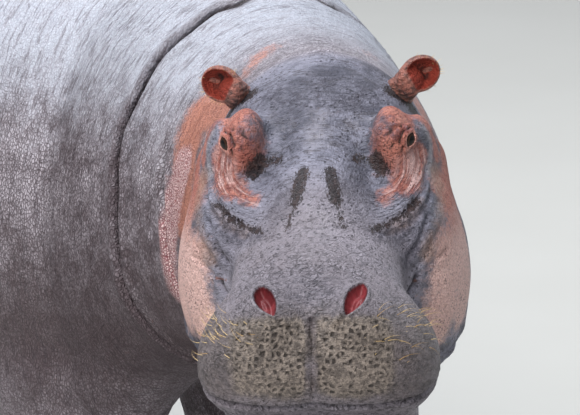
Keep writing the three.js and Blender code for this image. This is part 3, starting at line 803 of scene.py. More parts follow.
def nostril(head_points):
    """How far the left nostril pushes points out, how raw they are inside it, and its pale outer rim."""
    middle, along = np.array(NOSTRIL["middle"], float), unit(NOSTRIL["along"])
    up = unit(np.array(NOSTRIL["up"]) - along * (np.array(NOSTRIL["up"]) @ along))
    across = np.cross(along, up)
    across = across if across[0] > 0 else -across
    rel = head_points - middle
    s, t, w = rel @ along, rel @ across, rel @ up
    long, wide = NOSTRIL["half"]
    lens = wide * np.clip(1 - (s / long) ** 2, 0, 1) ** NOSTRIL["blunt"]
    lens = lens * np.where(t > 0, 1.0, NOSTRIL["inner"])
    edge = np.where(np.abs(s) < long, (np.abs(t) - lens) * 0.9, np.hypot(np.abs(s) - long, t))
    near = (np.abs(w) < 60) & (head_points[:, 0] > 0)
    inside = np.where(near, fade(1.2, -2.6, edge), 0)
    bowl = np.where(near, np.clip(-edge / wide, 0, 1), 0)
    flap = bell(t, 4, 6.5) * bell(s, -4, 26)
    depth = inside * (0.55 + 0.45 * np.sqrt(bowl)) * NOSTRIL["deep"] - inside * NOSTRIL["flap"] * flap
    back = fade(-30, 40, s)
    rim = np.where(near & (edge > -3), bell(edge, 3.0, NOSTRIL["rim_width"] * 0.6), 0)
    mound = np.where(near, np.exp(-((np.hypot(s * 0.8 - 14, t) / NOSTRIL["mound_reach"]) ** 2)), 0)
    push = rim * NOSTRIL["rim"] * (0.55 + 0.45 * back) * (1 - inside) + mound * NOSTRIL["mound"] * back
    raw = np.where(near, fade(2.4, -0.6, edge), 0)
    pale_rim = np.where(near, bell(edge, 3.2, 2.6), 0) * (fade(-6, 6, t) * fade(24, 4, s))
    return push - depth, raw, pale_rim


def padded(head_points):
    """How much every point belongs to the pitted pads of the upper lip."""
    x, y, z = head_points.T
    rise = FRONT_RISE[0] * y + FRONT_RISE[1] * z
    apart = 0.35 + 0.65 * fade(*PAD_GAP, np.abs(x))
    outline = fade(*PADS["side"], np.abs(x)) * fade(*PADS["top"], rise)
    return apart * outline * fade(*PADS["low"], z) * fade(*PADS["rear"], y)


# ---- Paint: soft strokes in the head's frame, as path, width and strength ----
PAINT = {
    "pink": [
        ([[142, 572, 262], [134, 535, 242], [130, 500, 216]], 42, 1.0),  # turret
        ([[176, 520, 200], [168, 486, 188], [154, 452, 180]], 31, 1.0),
        ([[152, 460, 184], [136, 438, 180], [118, 422, 176]], 22, 0.7),
        ([[216, 610, 150], [230, 560, 120], [240, 510, 90]], 40, 0.9),
        ([[172, 592, 244], [194, 586, 226], [206, 574, 200], [208, 556, 176]], 22, 0.7),
        ([[182, 800, 130], [196, 878, 88], [212, 920, 66]], 44, 0.95),
        ([[206, 890, 82], [232, 925, 42], [250, 895, 5], [264, 850, -50], [268, 815, -96]], 62, 0.95),
        ([[192, 660, 214], [206, 630, 190], [216, 610, 150]], 34, 0.95),
        ([[232, 510, 120], [250, 482, 60], [254, 456, 0], [252, 440, -60]], 62, 1.0),
        ([[222, 420, 60], [222, 380, -20], [200, 350, -70]], 60, 0.95),
        ([[150, 915, 142], [128, 945, 152], [96, 962, 156]], 30, 0.5),  # behind the ears
        ([[80, 420, -262], [60, 200, -215], [0, 60, -180]], 120, 0.55),
        ([[60, 700, -230], [60, 900, -330], [60, 1100, -420]], 190, 0.4),
    ],
    "dark": [
        ([[114, 474, 200], [106, 484, 205], [98, 494, 211]], 17, 0.95),  # wet skin beside each turret, darkened as painted shade in the corner at its base, with dark specks
        ([[100, 494, 208], [82, 500, 211], [66, 488, 210]], 14, 0.62),
        ([[166, 694, 190], [150, 700, 208], [128, 690, 228]], 22, 0.9),
        ([[126, 480, 204], [118, 498, 220], [110, 520, 240]], 26, 0.30),
        ([[25, 428, 227], [30, 402, 215], [36, 374, 203]], 16, 0.82),  # streaks down the nose
        ([[36, 374, 202], [43, 346, 192], [51, 314, 182]], 9, 0.6),
        ([[174, 428, 160], [150, 396, 148], [124, 374, 150], [98, 340, 158]], 11, 0.66),
    ],
    "shade": [
        ([[80, 650, 250], [44, 622, 257], [0, 614, 264], [0, 660, 268]], 44, 1.0),
        ([[180, 420, 140], [156, 384, 128], [128, 358, 136], [100, 330, 152]], 22, 0.9),
        ([[186, 400, 108], [166, 366, 90], [150, 328, 88]], 20, 0.9),
        ([[70, 440, 190], [60, 400, 186], [80, 350, 168]], 34, 0.5),
        ([[20, 130, 178], [0, 90, 170], [20, 60, 150]], 50, 0.5),
    ],
    # painted highlights: wet sheen along each eye's rim and sky sheen on the forehead and the top of the nose
    "pale": [
        ([[186, 566, 226], [198, 562, 206], [200, 540, 184], [196, 510, 166]], 11, 0.7),
        ([[112, 604, 264], [84, 582, 254], [60, 560, 246]], 30, 0.5),
        ([[0, 566, 252], [0, 500, 238]], 40, 0.5),
        ([[0, 320, 190], [0, 230, 190]], 60, 0.45),
    ],
    "brown": [
        ([[178, 430, 150], [156, 396, 140], [126, 366, 142]], 24, 0.55),
        ([[206, 530, 156], [207, 480, 134], [200, 424, 106], [190, 380, 84]], 28, 0.8),
        ([[20, 40, 130], [90, 26, 120], [150, 40, 104], [196, 140, 70]], 80, 0.9),
        ([[20, 10, 60], [110, 10, 56], [170, 30, 46], [206, 140, 30]], 60, 0.8),
    ],
    "red": [
        ([[276, 880, -20], [284, 870, -80], [282, 860, -180], [262, 850, -260]], 46, 1.0),
    ],
}
PLEATED = [([[178, 510, 190], [166, 466, 180], [146, 430, 170], [112, 396, 162]], 40, 1.0)]
PLEATS_ROUND = (100, 492, 203)  # the small folds under an eye run round this point


def painted(strokes, head_points):
    """Strokes laid on every point, the same on both sides."""
    p = head_points.copy()
    p[:, 0] = np.abs(p[:, 0])
    mask = np.zeros(len(p))
    for landmarks, width, strength in strokes:
        far, _ = away(p, smooth_line(landmarks, 12), width * 1.55)
        mask = np.maximum(mask, strength * fade(width * 1.5, width * 0.15, far))
    return mask


def pleat_waves(head_points):
    """How far every point is from the middle of the small folds under its eye, seen from in front."""
    x = np.abs(head_points[:, 0]) - PLEATS_ROUND[0]
    return np.hypot(x, (head_points[:, 1:] - PLEATS_ROUND[1:]) @ FRONT_RISE)


# ---- Ears and tail ----
EAR = {  # root and middle of the cup in the head's frame, and the ways it faces and reaches
    "root": [128, 722, 186], "cup": [180, 702, 250], "drop": 6.5,
    "faces": (0.22, -0.92, 0.30), "reach": (0.90, 0.2, 0.38),
}
EAR_BACK = ([0, 0, -4], [38, 33, 27])  # in the ear's own directions, as are the next two
EAR_HOLLOW = ([3, 1, 13], [31.5, 27, 27])
EAR_ROOM = ((-104, 50), (-74, 50), (-92, 34))
EAR_CELL = 2.8


def tube(rings):
    """A grid mesh of rings, closed to a point at both ends."""
    rings = np.asarray(rings)
    rows, around = rings.shape[:2]
    v = rings.reshape(-1, 3)
    i, j = np.meshgrid(np.arange(rows - 1), np.arange(around), indexing="ij")
    i, j = i.ravel(), j.ravel()
    k = (j + 1) % around
    faces = np.stack([i * around + j, i * around + k, (i + 1) * around + k, (i + 1) * around + j], 1).tolist()
    start, end = len(v), len(v) + 1
    v = np.concatenate([v, rings[0].mean(0)[None], rings[-1].mean(0)[None]])
    last = (rows - 1) * around
    faces += [[start, (n + 1) % around, n] for n in range(around)]
    faces += [[end, last + n, last + (n + 1) % around] for n in range(around)]
    return v, faces


def outward(thing):
    """Recalculates the normals of a closed mesh."""
    body = bmesh.new()
    body.from_mesh(thing.data)
    bmesh.ops.remove_doubles(body, verts=body.verts, dist=1e-4)
    bmesh.ops.recalc_face_normals(body, faces=body.faces)
    body.to_mesh(thing.data)
    body.free()
    return thing


def ear_frame():
    """The ear's directions: along it from root to tip, across it, and the way it faces."""
    facing = unit(EAR["faces"])
    along = unit(np.array(EAR["reach"]) - facing * (np.array(EAR["reach"]) @ facing))
    return along, np.cross(facing, along), facing


def ear_field(p):
    """An ear in its own directions from the middle of its cup: a hollow leaf on a thick stalk."""
    a, b, c = p
    back = ball(p, *EAR_BACK)
    fan = np.arctan2(b, a + 30)
    ribs = 2.8 * np.cos(fan * 7 + 0.6) + 1.4 * np.cos(fan * 17 + 1)
    hollow = ball(p, *EAR_HOLLOW) - ribs * fade(34, 12, np.hypot(a, b)) * 0.9
    leaf = -join(-back, hollow, 3)
    leaf = -join(-leaf, 9 + 0.05 * a - c, 3)
    stalk = limb(p, EAR_ROOT, [-20, -4, -12], 31, 24)
    tufted = ball(p, [-29, -2, 2], [15, 25, 16])
    creases = 1.1 * np.cos(b * 0.62 + 0.8 * np.sin(a * 0.13)) * fade(0, -22, a)
    return join(leaf, join(stalk, tufted, 12) + creases, 7)


EAR_ROOT = list((np.array(EAR["root"]) - EAR["cup"]) @ np.stack(ear_frame(), 1))


def ear_middle(side):
    """The middle of an ear's cup. The right ear hangs a little lower than the left one."""
    return mirrored(EAR["cup"], side) + [0, 0, side * EAR["drop"]]


def ear_shape(side):
    """One ear on the straight animal."""
    room = [np.arange(low, high, EAR_CELL) for low, high in EAR_ROOM]
    points = np.stack(np.meshgrid(*room, indexing="ij"))
    v, faces = nets(points, ear_field(list(points)))
    v = settled(ear_field, relaxed(v, edges_of(faces), 2, strength=0.5), steps=2, most=2)
    along, across, facing = (mirrored(way, side) for way in ear_frame())
    v = ear_middle(side) + v @ np.stack([along, across, facing])
    return outward(mesh_object("ear", on_animal(v), faces))


def tail_rope():
    """The tail, flat from side to side towards its end."""
    line = smooth_line([[x, y, z] for x, y, z, _ in TAIL], 14)
    radii = np.interp(-line[:, 2], [-row[2] for row in TAIL], [row[3] for row in TAIL]) - COAT_DEPTH
    turn = np.linspace(0, 2 * math.pi, 22, endpoint=False)
    ring = np.stack([np.cos(turn) * TAIL_FLATNESS, np.sin(turn), 0 * turn], 1)
    rings = [point + ring * radius for point, radius in zip(line, radii)]
    for share in (0.86, 0.6, 0.25):  # the rounded end
        below = radii[-1] * math.sqrt(1 - share * share) * 0.6
        rings.append(line[-1] + ring * radii[-1] * share - [0, 0, below])
    v, faces = tube(rings)
    return outward(mesh_object("tail_rope", v, faces))


def joined(base, tool):
    """The tool welded into the base, as one closed mesh."""
    weld = base.modifiers.new("weld", "BOOLEAN")
    weld.operation, weld.solver, weld.object = "UNION", "MANIFOLD", tool
    shape = bpy.data.meshes.new_from_object(base.evaluated_get(bpy.context.evaluated_depsgraph_get()))
    base.modifiers.remove(weld)
    used = [base.data, tool.data]
    base.data = shape
    bpy.data.objects.remove(tool)
    for mesh in used:
        bpy.data.meshes.remove(mesh)


# ---- The skin ----
def near_spot(v, spot, reach):
    """Which points are this near a spot of the head, on either side."""
    h = in_head(v)
    return sum(np.linalg.norm(h - mirrored(spot, side), axis=1) < reach for side in (1, -1)) > 0


def near_lines(v, folds, reach, head_spacing=None):
    found = np.zeros(len(v), bool)
    for landmarks, *_ in folds:
        for line in draped_pair(landmarks, head_spacing):
            found |= away(v, line, reach)[0] < reach * 0.999
    return found


def near_toes(v, reach):
    return sum(np.linalg.norm(v - at, axis=1) < reach for leg in LEGS for at, _ in toes(leg)) > 0


DEEP = 2.4
DEEP_FOLDS = [fold for fold in HEAD_FOLDS if fold[2] >= DEEP]
NEAR = {
    "eyes": lambda v, reach: near_spot(v, EYE_MIDDLE, reach),
    "nostrils": lambda v, reach: near_spot(v, NOSTRIL["middle"], reach),
    "long creases": lambda v, reach: near_lines(v, BODY_FOLDS[:2], reach),
    "deep folds": lambda v, reach: near_lines(v, DEEP_FOLDS, reach, SPACING_ROUGH),
    "toes": near_toes,
}
SPLITS = [  # rounds in which faces are split in four, if they lie this near a feature
    {"eyes": 60, "nostrils": 56, "deep folds": 13, "long creases": 52, "toes": 84},
    {"eyes": 42, "nostrils": 46, "long creases": 26},
    {"eyes": 24},
]


def bare_skin():
    """The skin on the field, with finer faces where its folds need them."""
    v, faces = laid_skin(hide)
    v = settled(hide, relaxed(v, edges_of(faces), 2))
    thing = mesh_object("skin", v, faces)
    for reaches in SPLITS:
        chosen = lambda v: sum(NEAR[what](v, reach) for what, reach in reaches.items()) > 0
        v, edges = split_where(thing.data, chosen)
        v = settled(hide, relaxed(v, edges, 2, strength=0.5), steps=2)
        v[:, 2] = np.maximum(v[:, 2], 0)
        set_points(thing.data, v)
    return thing


def smoothed_seams(thing):
    """The welded joints of ears and tail, drawn into short fillets. Says which points are theirs."""
    v, edges = points_of(thing.data), points_of(thing.data, "edges", "vertices", 2)
    apart = hide(list(v.T)) > 0.8
    seam = np.zeros(len(v))
    mixed = edges[apart[edges[:, 0]] != apart[edges[:, 1]]]
    seam[mixed.ravel()] = 1
    for _ in range(3):
        grown = seam.copy()
        np.maximum.at(grown, edges[:, 0], seam[edges[:, 1]] * 0.8)
        np.maximum.at(grown, edges[:, 1], seam[edges[:, 0]] * 0.8)
        seam = grown
    set_points(thing.data, relaxed(v, edges, 8, where=np.clip(seam, 0, 1), strength=0.5))
    return apart


def add_mask(mesh, name, values):
    layer = mesh.attributes.new(name, "FLOAT", "POINT")
    layer.data.foreach_set("value", np.asarray(values, float).ravel())


def add_vectors(mesh, name, values):
    layer = mesh.attributes.new(name, "FLOAT_VECTOR", "POINT")
    layer.data.foreach_set("vector", np.asarray(values, float).ravel())


CLEFT_REACH = 60.0  # how far from the shoulder crease its distance is noted
HEAD_REACH = 1100  # stations of the head's frame: the finest unevenness ends here
EARS_END = 900  # of what is welded on, the ears lie in front of this and the tail behind


def cleft_distance(v):
    far = [away(v, line, CLEFT_REACH)[0] for line in draped_pair(SHOULDER_CREASE)]
    return np.minimum(*far)


def both_nostrils(at_head):
    """Over the whole skin, how far the nostrils push it, how raw it is, and their pale rims."""
    push, raw, rims = np.zeros((3, len(at_head)))
    near_front = at_head[:, 1] < NOSTRIL["rear"]
    for side in (1, -1):
        q = at_head * [side, 1, 1]
        near = near_front & (q[:, 0] > 0)
        push[near], raw[near], rims[near] = (found[near] for found in nostril(q))
    return push, raw, rims


def wrap_lids(v, apart, shade):
    """Wraps the skin round both eyes, adds its pleats' painted shade, and says where its edge is, painted
    pale as a wet highlight, and where it is pink.
    """
    red, pink = np.zeros((2, len(v)))
    for side in (1, -1):
        q = in_head(v) * [side, 1, 1]
        near = (np.linalg.norm(q - EYE_MIDDLE, axis=1) < LID["room"]) & ~apart
        wrapped, red[near], pink[near], pleat = lids(q[near])
        v[near] = on_animal(wrapped * [side, 1, 1])
        shade[near] = np.maximum(shade[near], pleat)
    return red, pink


def inside_ears(at_head, ear):
    """How deep inside an ear's cup every point lies, 0 to 1."""
    inner = np.zeros(len(at_head))
    for side in (1, -1):
        rel = (at_head - ear_middle(side)) * [side, 1, 1]
        a, b, c = (rel @ way for way in ear_frame())
        hollow = ball([a, b, c], *EAR_HOLLOW)
        mine = ear & (side * at_head[:, 0] > 0)
        deep = 0.5 + 0.5 * fade(1, -13, c) * fade(28, 4, a)
        inner[mine] = (fade(2.2, 0.8, hollow) * fade(-26, -16, a) * deep)[mine]
    return inner


def welded_skin():
    """The skin with its ears and tail, and which of its points belong to them."""
    thing = bare_skin()
    for side in (1, -1):
        joined(thing, ear_shape(side))
    joined(thing, tail_rope())
    thing.name = "skin"
    return thing, smoothed_seams(thing)


def make_skin():
    thing, apart = welded_skin()
    mesh = thing.data
    v, edges = points_of(mesh), points_of(mesh, "edges", "vertices", 2)
    normals = points_of(mesh, "vertex_normals", "vector")
    lie, at_head = v / 1000, in_head(v)
    ear, tail = apart & (at_head[:, 1] < EARS_END), apart & (at_head[:, 1] > EARS_END)

    cleft = cleft_distance(v)
    push, shade = folded(v)
    nostril_push, raw, rims = both_nostrils(at_head)
    push += nostril_push
    on_head = at_head[:, 1] < HEAD_REACH
    push += (1.0 * uneven(v, 60, 3) - 0.8) * (1 - rims) + 0.4 * uneven(v, 22, 5) * on_head
    push[apart] = 0
    v = v + normals * push[:, None]
    v = relaxed(v, edges, 8, where=np.clip(raw * 2 - 1, 0, 1), strength=0.5)
    lash, lid_pink = wrap_lids(v, apart, shade)
    v[:, 2] = np.maximum(v[:, 2], 0)

    masks = {name: painted(strokes, at_head) for name, strokes in PAINT.items()}
    masks["pink"] = np.maximum(masks["pink"], lid_pink)
    masks["pale"] = np.maximum(masks["pale"], rims * (1 - raw) * 0.8)
    masks.update(pleated=painted(PLEATED, at_head), waves=pleat_waves(at_head), pad=padded(at_head))
    masks.update(raw=raw, crease=shade, lash=lash, cleft=cleft / CLEFT_REACH)
    masks.update(ear=ear, tail=tail, inner=inside_ears(at_head, ear))
    for name, values in masks.items():
        add_mask(mesh, name, values)
    add_vectors(mesh, "lie", lie)
    set_points(mesh, placed(v))
    shade_smooth(mesh)
    return thing


# ---- Eyes ----
EYE_SHAPE = {"rows": 40, "around": 56, "cornea": 1.3, "cornea_reach": math.radians(24)}


def make_eye(side):
    """An eyeball with its cornea, its pole along the line of sight."""
    look, out, up = lid_frame()
    turn = np.linspace(0, 2 * math.pi, EYE_SHAPE["around"], endpoint=False)
    rings = []
    for i in range(1, EYE_SHAPE["rows"]):
        angle = math.pi * i / EYE_SHAPE["rows"]
        bulge = EYE_SHAPE["cornea"] * math.exp(-((angle / EYE_SHAPE["cornea_reach"]) ** 2))
        way = (
            math.cos(angle) * look
            + math.sin(angle) * (np.cos(turn)[:, None] * out + np.sin(turn)[:, None] * up)
        )
        rings.append(way * (EYE["radius"] + bulge))
    v, faces = tube(rings)
    thing = outward(mesh_object(f"eyeball_{'left' if side > 0 else 'right'}", v, faces))
    v = points_of(thing.data)
    add_vectors(thing.data, "gaze", np.stack([v @ out, v @ up, v @ look], 1) / EYE["radius"])
    set_points(thing.data, placed(on_animal((v + EYE_MIDDLE) * [side, 1, 1])))
    if side < 0:
        thing.data.flip_normals()
    shade_smooth(thing.data)
    return thing


# ---- Nails ----
NAIL_SHAPE = {
    "half": [25, 17, 21], "inset": 0.4, "sole": -13.0, "square": 2.6,
    "ridges": 10, "ridge_depth": 0.025, "around": 20, "rows": 12,
}


def nail_shape(turn):
    """One nail round its middle: blunt, flat underneath, ridged, and turned outwards with its toe."""
    half = np.array(NAIL_SHAPE["half"]) - NAIL_SHAPE["inset"]
    power = lambda c: np.sign(c) * np.abs(c) ** (2 / NAIL_SHAPE["square"])
    a = np.linspace(0, 2 * math.pi, NAIL_SHAPE["around"], endpoint=False)
    ridge = 1 - NAIL_SHAPE["ridge_depth"] * (1 + np.cos(a * NAIL_SHAPE["ridges"]))
    rings = []
    for row in range(1, NAIL_SHAPE["rows"]):
        polar = math.pi * row / NAIL_SHAPE["rows"]
        rings.append(np.stack([
            half[0] * power(math.sin(polar) * np.cos(a)) * ridge,
            half[1] * power(math.sin(polar) * np.sin(a)) * ridge,
            np.maximum(half[2] * power(math.cos(polar) + 0 * a), NAIL_SHAPE["sole"]),
        ], 1))
    v, faces = tube(rings)
    c, s = math.cos(turn), math.sin(turn)
    return np.stack([v[:, 0] * c - v[:, 1] * s, v[:, 0] * s + v[:, 1] * c, v[:, 2]], 1), faces


def make_nails():
    """All sixteen nails, each in its solid's place, and the solids' names."""
    points, faces, names = [], [], []
    for leg, leg_name in zip(LEGS, ("front_left", "front_right", "hind_left", "hind_right")):
        for i, (_, turn) in enumerate(toes(leg)):
            name = f"nail_{leg_name}_{i + 1}"
            names.append(name)
            low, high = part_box(name)
            shape, shape_faces = nail_shape(turn)
            base = sum(len(part) for part in points)
            points.append(shape + np.array((low + high) / 2) * 1000)
            faces += [[base + corner for corner in face] for face in shape_faces]
    thing = outward(mesh_object("nails", np.concatenate(points) / 1000, faces))
    shade_smooth(thing.data)
    return thing, names


# ---- Bristles ----
def bristle_tree(material):
    """Scatters bent, tapering bristles where a mask says, leaning along the flow of each point."""
    tree = bpy.data.node_groups.new("bristle_scatter", "GeometryNodeTree")
    ids = {}
    for name, kind, default in (
        ("Geometry", "NodeSocketGeometry", None),
        ("Density", "NodeSocketFloat", 100.0),
        ("Length", "NodeSocketFloat", 0.03),
        ("Thickness", "NodeSocketFloat", 0.0006),
        ("Bend", "NodeSocketFloat", 0.3),
        ("Lean", "NodeSocketFloat", 0.5),
        ("Spread", "NodeSocketFloat", 0.5),
        ("Seed", "NodeSocketInt", 1),
    ):
        socket = tree.interface.new_socket(name, in_out="INPUT", socket_type=kind)
        ids[name] = socket.identifier
        if default is not None:
            socket.default_value = default
    tree.interface.new_socket("Geometry", in_out="OUTPUT", socket_type="NodeSocketGeometry")
    given = tree.nodes.new("NodeGroupInput").outputs

    def put(kind, feeds=None, **settings):
        """A node with its settings and then its inputs, each a value or another node's output."""
        node = tree.nodes.new(kind)
        for key, value in settings.items():
            setattr(node, key, value)
        for key, value in (feeds or {}).items():
            if isinstance(value, bpy.types.NodeSocket):
                tree.links.new(value, node.inputs[key])
            else:
                node.inputs[key].default_value = value
        return node.outputs

    maths = lambda operation, a, b: put("ShaderNodeMath", {0: a, 1: b}, operation=operation)[0]
    vectors = lambda operation, a, b: put("ShaderNodeVectorMath", {0: a, 1: b}, operation=operation)[0]
    scaled = lambda a, size: put("ShaderNodeVectorMath", {0: a, "Scale": size}, operation="SCALE")[0]
    mask = put("GeometryNodeInputNamedAttribute", {"Name": "bristly"}, data_type="FLOAT")[0]
    flow = put("GeometryNodeInputNamedAttribute", {"Name": "flow"}, data_type="FLOAT_VECTOR")[0]
    spots = put("GeometryNodeDistributePointsOnFaces", {
        "Mesh": given["Geometry"],
        "Density": maths("MULTIPLY", mask, given["Density"]),
        "Seed": given["Seed"],
    })
    cone = put("GeometryNodeMeshCone", {
        "Vertices": 4, "Side Segments": 4, "Radius Top": 0.15, "Radius Bottom": 1.0, "Depth": 1.0,
    }, fill_type="NGON")[0]
    height = put("ShaderNodeSeparateXYZ", {0: put("GeometryNodeInputPosition")[0]})["Z"]
    slim = maths("DIVIDE", given["Thickness"], given["Length"])
    thin = put("GeometryNodeTransform", {
        "Geometry": cone, "Scale": put("ShaderNodeCombineXYZ", {"X": slim, "Y": slim, "Z": 1.0})[0],
    })[0]
    bend = maths("MULTIPLY", maths("POWER", height, 2.0), given["Bend"])
    bent = put("GeometryNodeSetPosition", {
        "Geometry": thin, "Offset": put("ShaderNodeCombineXYZ", {"X": bend})[0],
    })[0]
    wild = put("FunctionNodeRandomValue", {0: (-1, -1, -1), 1: (1, 1, 1)}, data_type="FLOAT_VECTOR")[0]
    way = vectors("ADD", spots["Normal"], scaled(wild, given["Spread"]))
    way = vectors("ADD", way, scaled(flow, given["Lean"]))
    size = put("FunctionNodeRandomValue", {2: 0.55, 3: 1.0}, data_type="FLOAT")[1]
    grown = put("GeometryNodeInstanceOnPoints", {
        "Points": spots["Points"],
        "Instance": bent,
        "Rotation": put("FunctionNodeAlignRotationToVector", {"Vector": way}, axis="Z")[0],
        "Scale": maths("MULTIPLY", size, given["Length"]),
    })[0]
    real = put("GeometryNodeRealizeInstances", {0: grown})[0]
    coloured = put("GeometryNodeSetMaterial", {"Geometry": real, "Material": material})[0]
    tree.links.new(coloured, tree.nodes.new("NodeGroupOutput").inputs[0])
    return tree, ids


BRISTLE_POINTS = 20  # points in one bristle's mesh
# The bristles' unwrap, round the trunk's axis: its level and length in metres, and the patches' size.
UNWRAP = {"level": 0.82, "length": 3.5, "start": 0.02, "patch": 0.0015, "quarter": 1.57}


def inside_box(mesh):
    """Leaves out the bristles that would stand out of the solids' box."""
    v = points_of(mesh)
    beyond = ((v < np.array(cad_box[0])) | (v > np.array(cad_box[1]))).any(1)
    beyond = beyond.reshape(-1, BRISTLE_POINTS).any(1).repeat(BRISTLE_POINTS)
    body = bmesh.new()
    body.from_mesh(mesh)
    bmesh.ops.delete(body, geom=[vert for vert in body.verts if beyond[vert.index]], context="VERTS")
    body.to_mesh(mesh)
    body.free()


def make_bristles(skin, name, mask, flow, tree, ids, **values):
    """One set of bristles on the skin, as a plain mesh with its own small patches on the skin's unwrap."""
    base = bpy.data.objects.new(name, skin.data.copy())
    bpy.context.scene.collection.objects.link(base)
    add_mask(base.data, "bristly", mask)
    add_vectors(base.data, "flow", flow)
    grow = base.modifiers.new("grow", "NODES")
    grow.node_group = tree
    for key, value in values.items():
        grow[ids[key]] = value
    mesh = bpy.data.meshes.new_from_object(base.evaluated_get(bpy.context.evaluated_depsgraph_get()))
    base.modifiers.remove(grow)
    old, base.data = base.data, mesh
    bpy.data.meshes.remove(old)
    inside_box(mesh)
    lie = points_of(mesh.attributes["lie"], "data", "vector")
    around = np.arctan2(lie[:, 0], lie[:, 2] - UNWRAP["level"]) / (2 * math.pi) + 0.5
    corner = points_of(mesh, "loops", "vertex_index", 1)[:, 0].astype(int)
    quarter = np.arange(len(mesh.vertices)) % 4 * UNWRAP["quarter"]
    uv = np.stack([lie[:, 1] / UNWRAP["length"] + UNWRAP["start"], around], 1)
    uv = uv + UNWRAP["patch"] * np.stack([np.cos(quarter), np.sin(quarter)], 1)
    layer = mesh.uv_layers.new(name="OFBake")
    layer.data.foreach_set("uv", uv[corner].ravel())
    return base


WHISKER_LINE = [[116, 40, 138], [160, 58, 108], [186, 120, 96]]  # along the lip, in the head's frame


def bristle_sets(mesh):
    """Every set of bristles: where on the skin it grows, which way, and its settings in metres."""
    lie = points_of(mesh.attributes["lie"], "data", "vector") * 1000
    at_head = in_head(lie)
    side = np.sign(at_head[:, :1])
    mirror = np.concatenate([side, side * 0 + 1, side * 0 + 1], 1)
    left_head = at_head * mirror
    ear, tail = (points_of(mesh.attributes[key], "data", "value", 1)[:, 0] for key in ("ear", "tail"))

    def flowing(way):
        """A direction of the head's left side and its mirror image, at every point of the skin in place."""
        return (placed(on_animal(at_head + mirror * unit(way))) - placed(on_animal(at_head))) * 1000

    lip = fade(62, 20, away(left_head, smooth_line(WHISKER_LINE, 12), 80)[0])
    a, b, c = ((left_head - np.array(EAR["cup"]) - side * [0, 0, EAR["drop"]]) @ np.stack(ear_frame(), 1)).T
    ear_rim = ear * fade(29, 33, np.hypot(a, b)) * fade(-12, 2, c) * fade(-22, -12, a)
    y, z = lie[:, 1], lie[:, 2]
    tail_edges = tail * fade(760, 700, z) * fade(3140, 3150, y) * fade(1, 5, np.abs(y - 3182))
    return {
        "whiskers": (lip, flowing([0.5, 0.75, -0.25]), dict(
            Density=2300.0, Length=0.040, Thickness=0.0005, Bend=0.55, Spread=0.7, Lean=1.6, Seed=4)),
        "ear_bristles": (ear_rim, flowing([0.7, 0.0, 0.6]), dict(
            Density=16000.0, Length=0.010, Thickness=0.0004, Bend=0.3, Spread=0.4, Lean=0.4, Seed=5)),
        "tail_bristles": (tail_edges, np.tile([0.0, 0.0, -1.0], (len(lie), 1)), dict(
            Density=22000.0, Length=0.045, Thickness=0.0008, Bend=0.2, Spread=0.25, Lean=3.0, Seed=6)),
    }


# ---- Materials ----
def working(operation, swap=False):
    """A method that works out an operation of a Term and another one, a number or a vector."""
    return lambda self, other: self.work(operation, other, swap)


class Term:
    """One socket of a material, used like a number, a colour or a vector in an expression."""

    def __init__(self, finish, socket):
        self.finish, self.socket = finish, socket

    def of_several(self):
        return self.socket.type in ("VECTOR", "RGBA")

    def work(self, operation, other, swap):
        terms = [other, self] if swap else [self, other]
        wide = any(isinstance(t, tuple) or (isinstance(t, Term) and t.of_several()) for t in terms)
        if wide:
            terms = [(t, t, t) if isinstance(t, (int, float)) else t for t in terms]
        kind = "VectorMath" if wide else "Math"
        return self.finish.node(kind, {"operation": operation}, dict(enumerate(terms)))

    __add__, __radd__ = working("ADD"), working("ADD", swap=True)
    __sub__, __rsub__ = working("SUBTRACT"), working("SUBTRACT", swap=True)
    __mul__, __rmul__ = working("MULTIPLY"), working("MULTIPLY", swap=True)
    __truediv__, __pow__, most = working("DIVIDE"), working("POWER"), working("MAXIMUM")


class Finish:
    """A procedural material. Expressions of Terms are fed to its shader's sockets by name."""

    def __init__(self, name):
        self.material = bpy.data.materials.new(name)
        self.material.use_nodes = True
        self.tree = self.material.node_tree
        self.shader = self.tree.nodes["Principled BSDF"]

    def node(self, kind, settings=None, inputs=None, output=0):
        """A node of a type, with its settings made first and then its sockets' values or links."""
        made = self.tree.nodes.new("ShaderNode" + kind)
        for key, value in (settings or {}).items():
            setattr(made, key, value)
        for key, value in (inputs or {}).items():
            self.feed(made.inputs[key], value)
        return Term(self, made.outputs[output])

    def feed(self, socket, value):
        if isinstance(value, Term):
            self.tree.links.new(value.socket, socket)
        elif socket.type == "RGBA" and len(value) == 3:
            socket.default_value = (*value, 1)
        else:
            socket.default_value = value

    def set(self, **sockets):
        """Values or links of the shader's own sockets, with _ for a space."""
        for key, value in sockets.items():
            self.feed(self.shader.inputs[key.replace("_", " ")], value)
        return self.material

    def mask(self, name):
        return self.node("Attribute", {"attribute_name": name}, output="Fac")

    def vectors(self, name):
        return self.node("Attribute", {"attribute_name": name}, output="Vector")

    def noise(self, at, scale, detail=3.0, rough=0.55, twist=0.0):
        return self.node("TexNoise", None, {
            "Vector": at, "Scale": scale, "Detail": detail, "Roughness": rough, "Distortion": twist})

    def cells(self, at, scale, feature="F1", loose=1.0):
        return self.node("TexVoronoi", {"feature": feature}, {
            "Vector": at, "Scale": scale, "Randomness": loose}, "Distance")

    def step(self, value, low, high):
        """A smooth step from 0 at low to 1 at high."""
        return self.node("MapRange", {"interpolation_type": "SMOOTHSTEP"}, {
            "Value": value, "From Min": low, "From Max": high})

    def mix(self, a, b, share):
        return self.node("Mix", {"data_type": "RGBA"}, {0: share, 6: a, 7: b}, 2)

    def bump(self, height, distance, strength=1.0, under=None):
        inputs = {"Height": height, "Distance": distance, "Strength": strength}
        if under is not None:
            inputs["Normal"] = under
        return self.node("Bump", None, inputs)


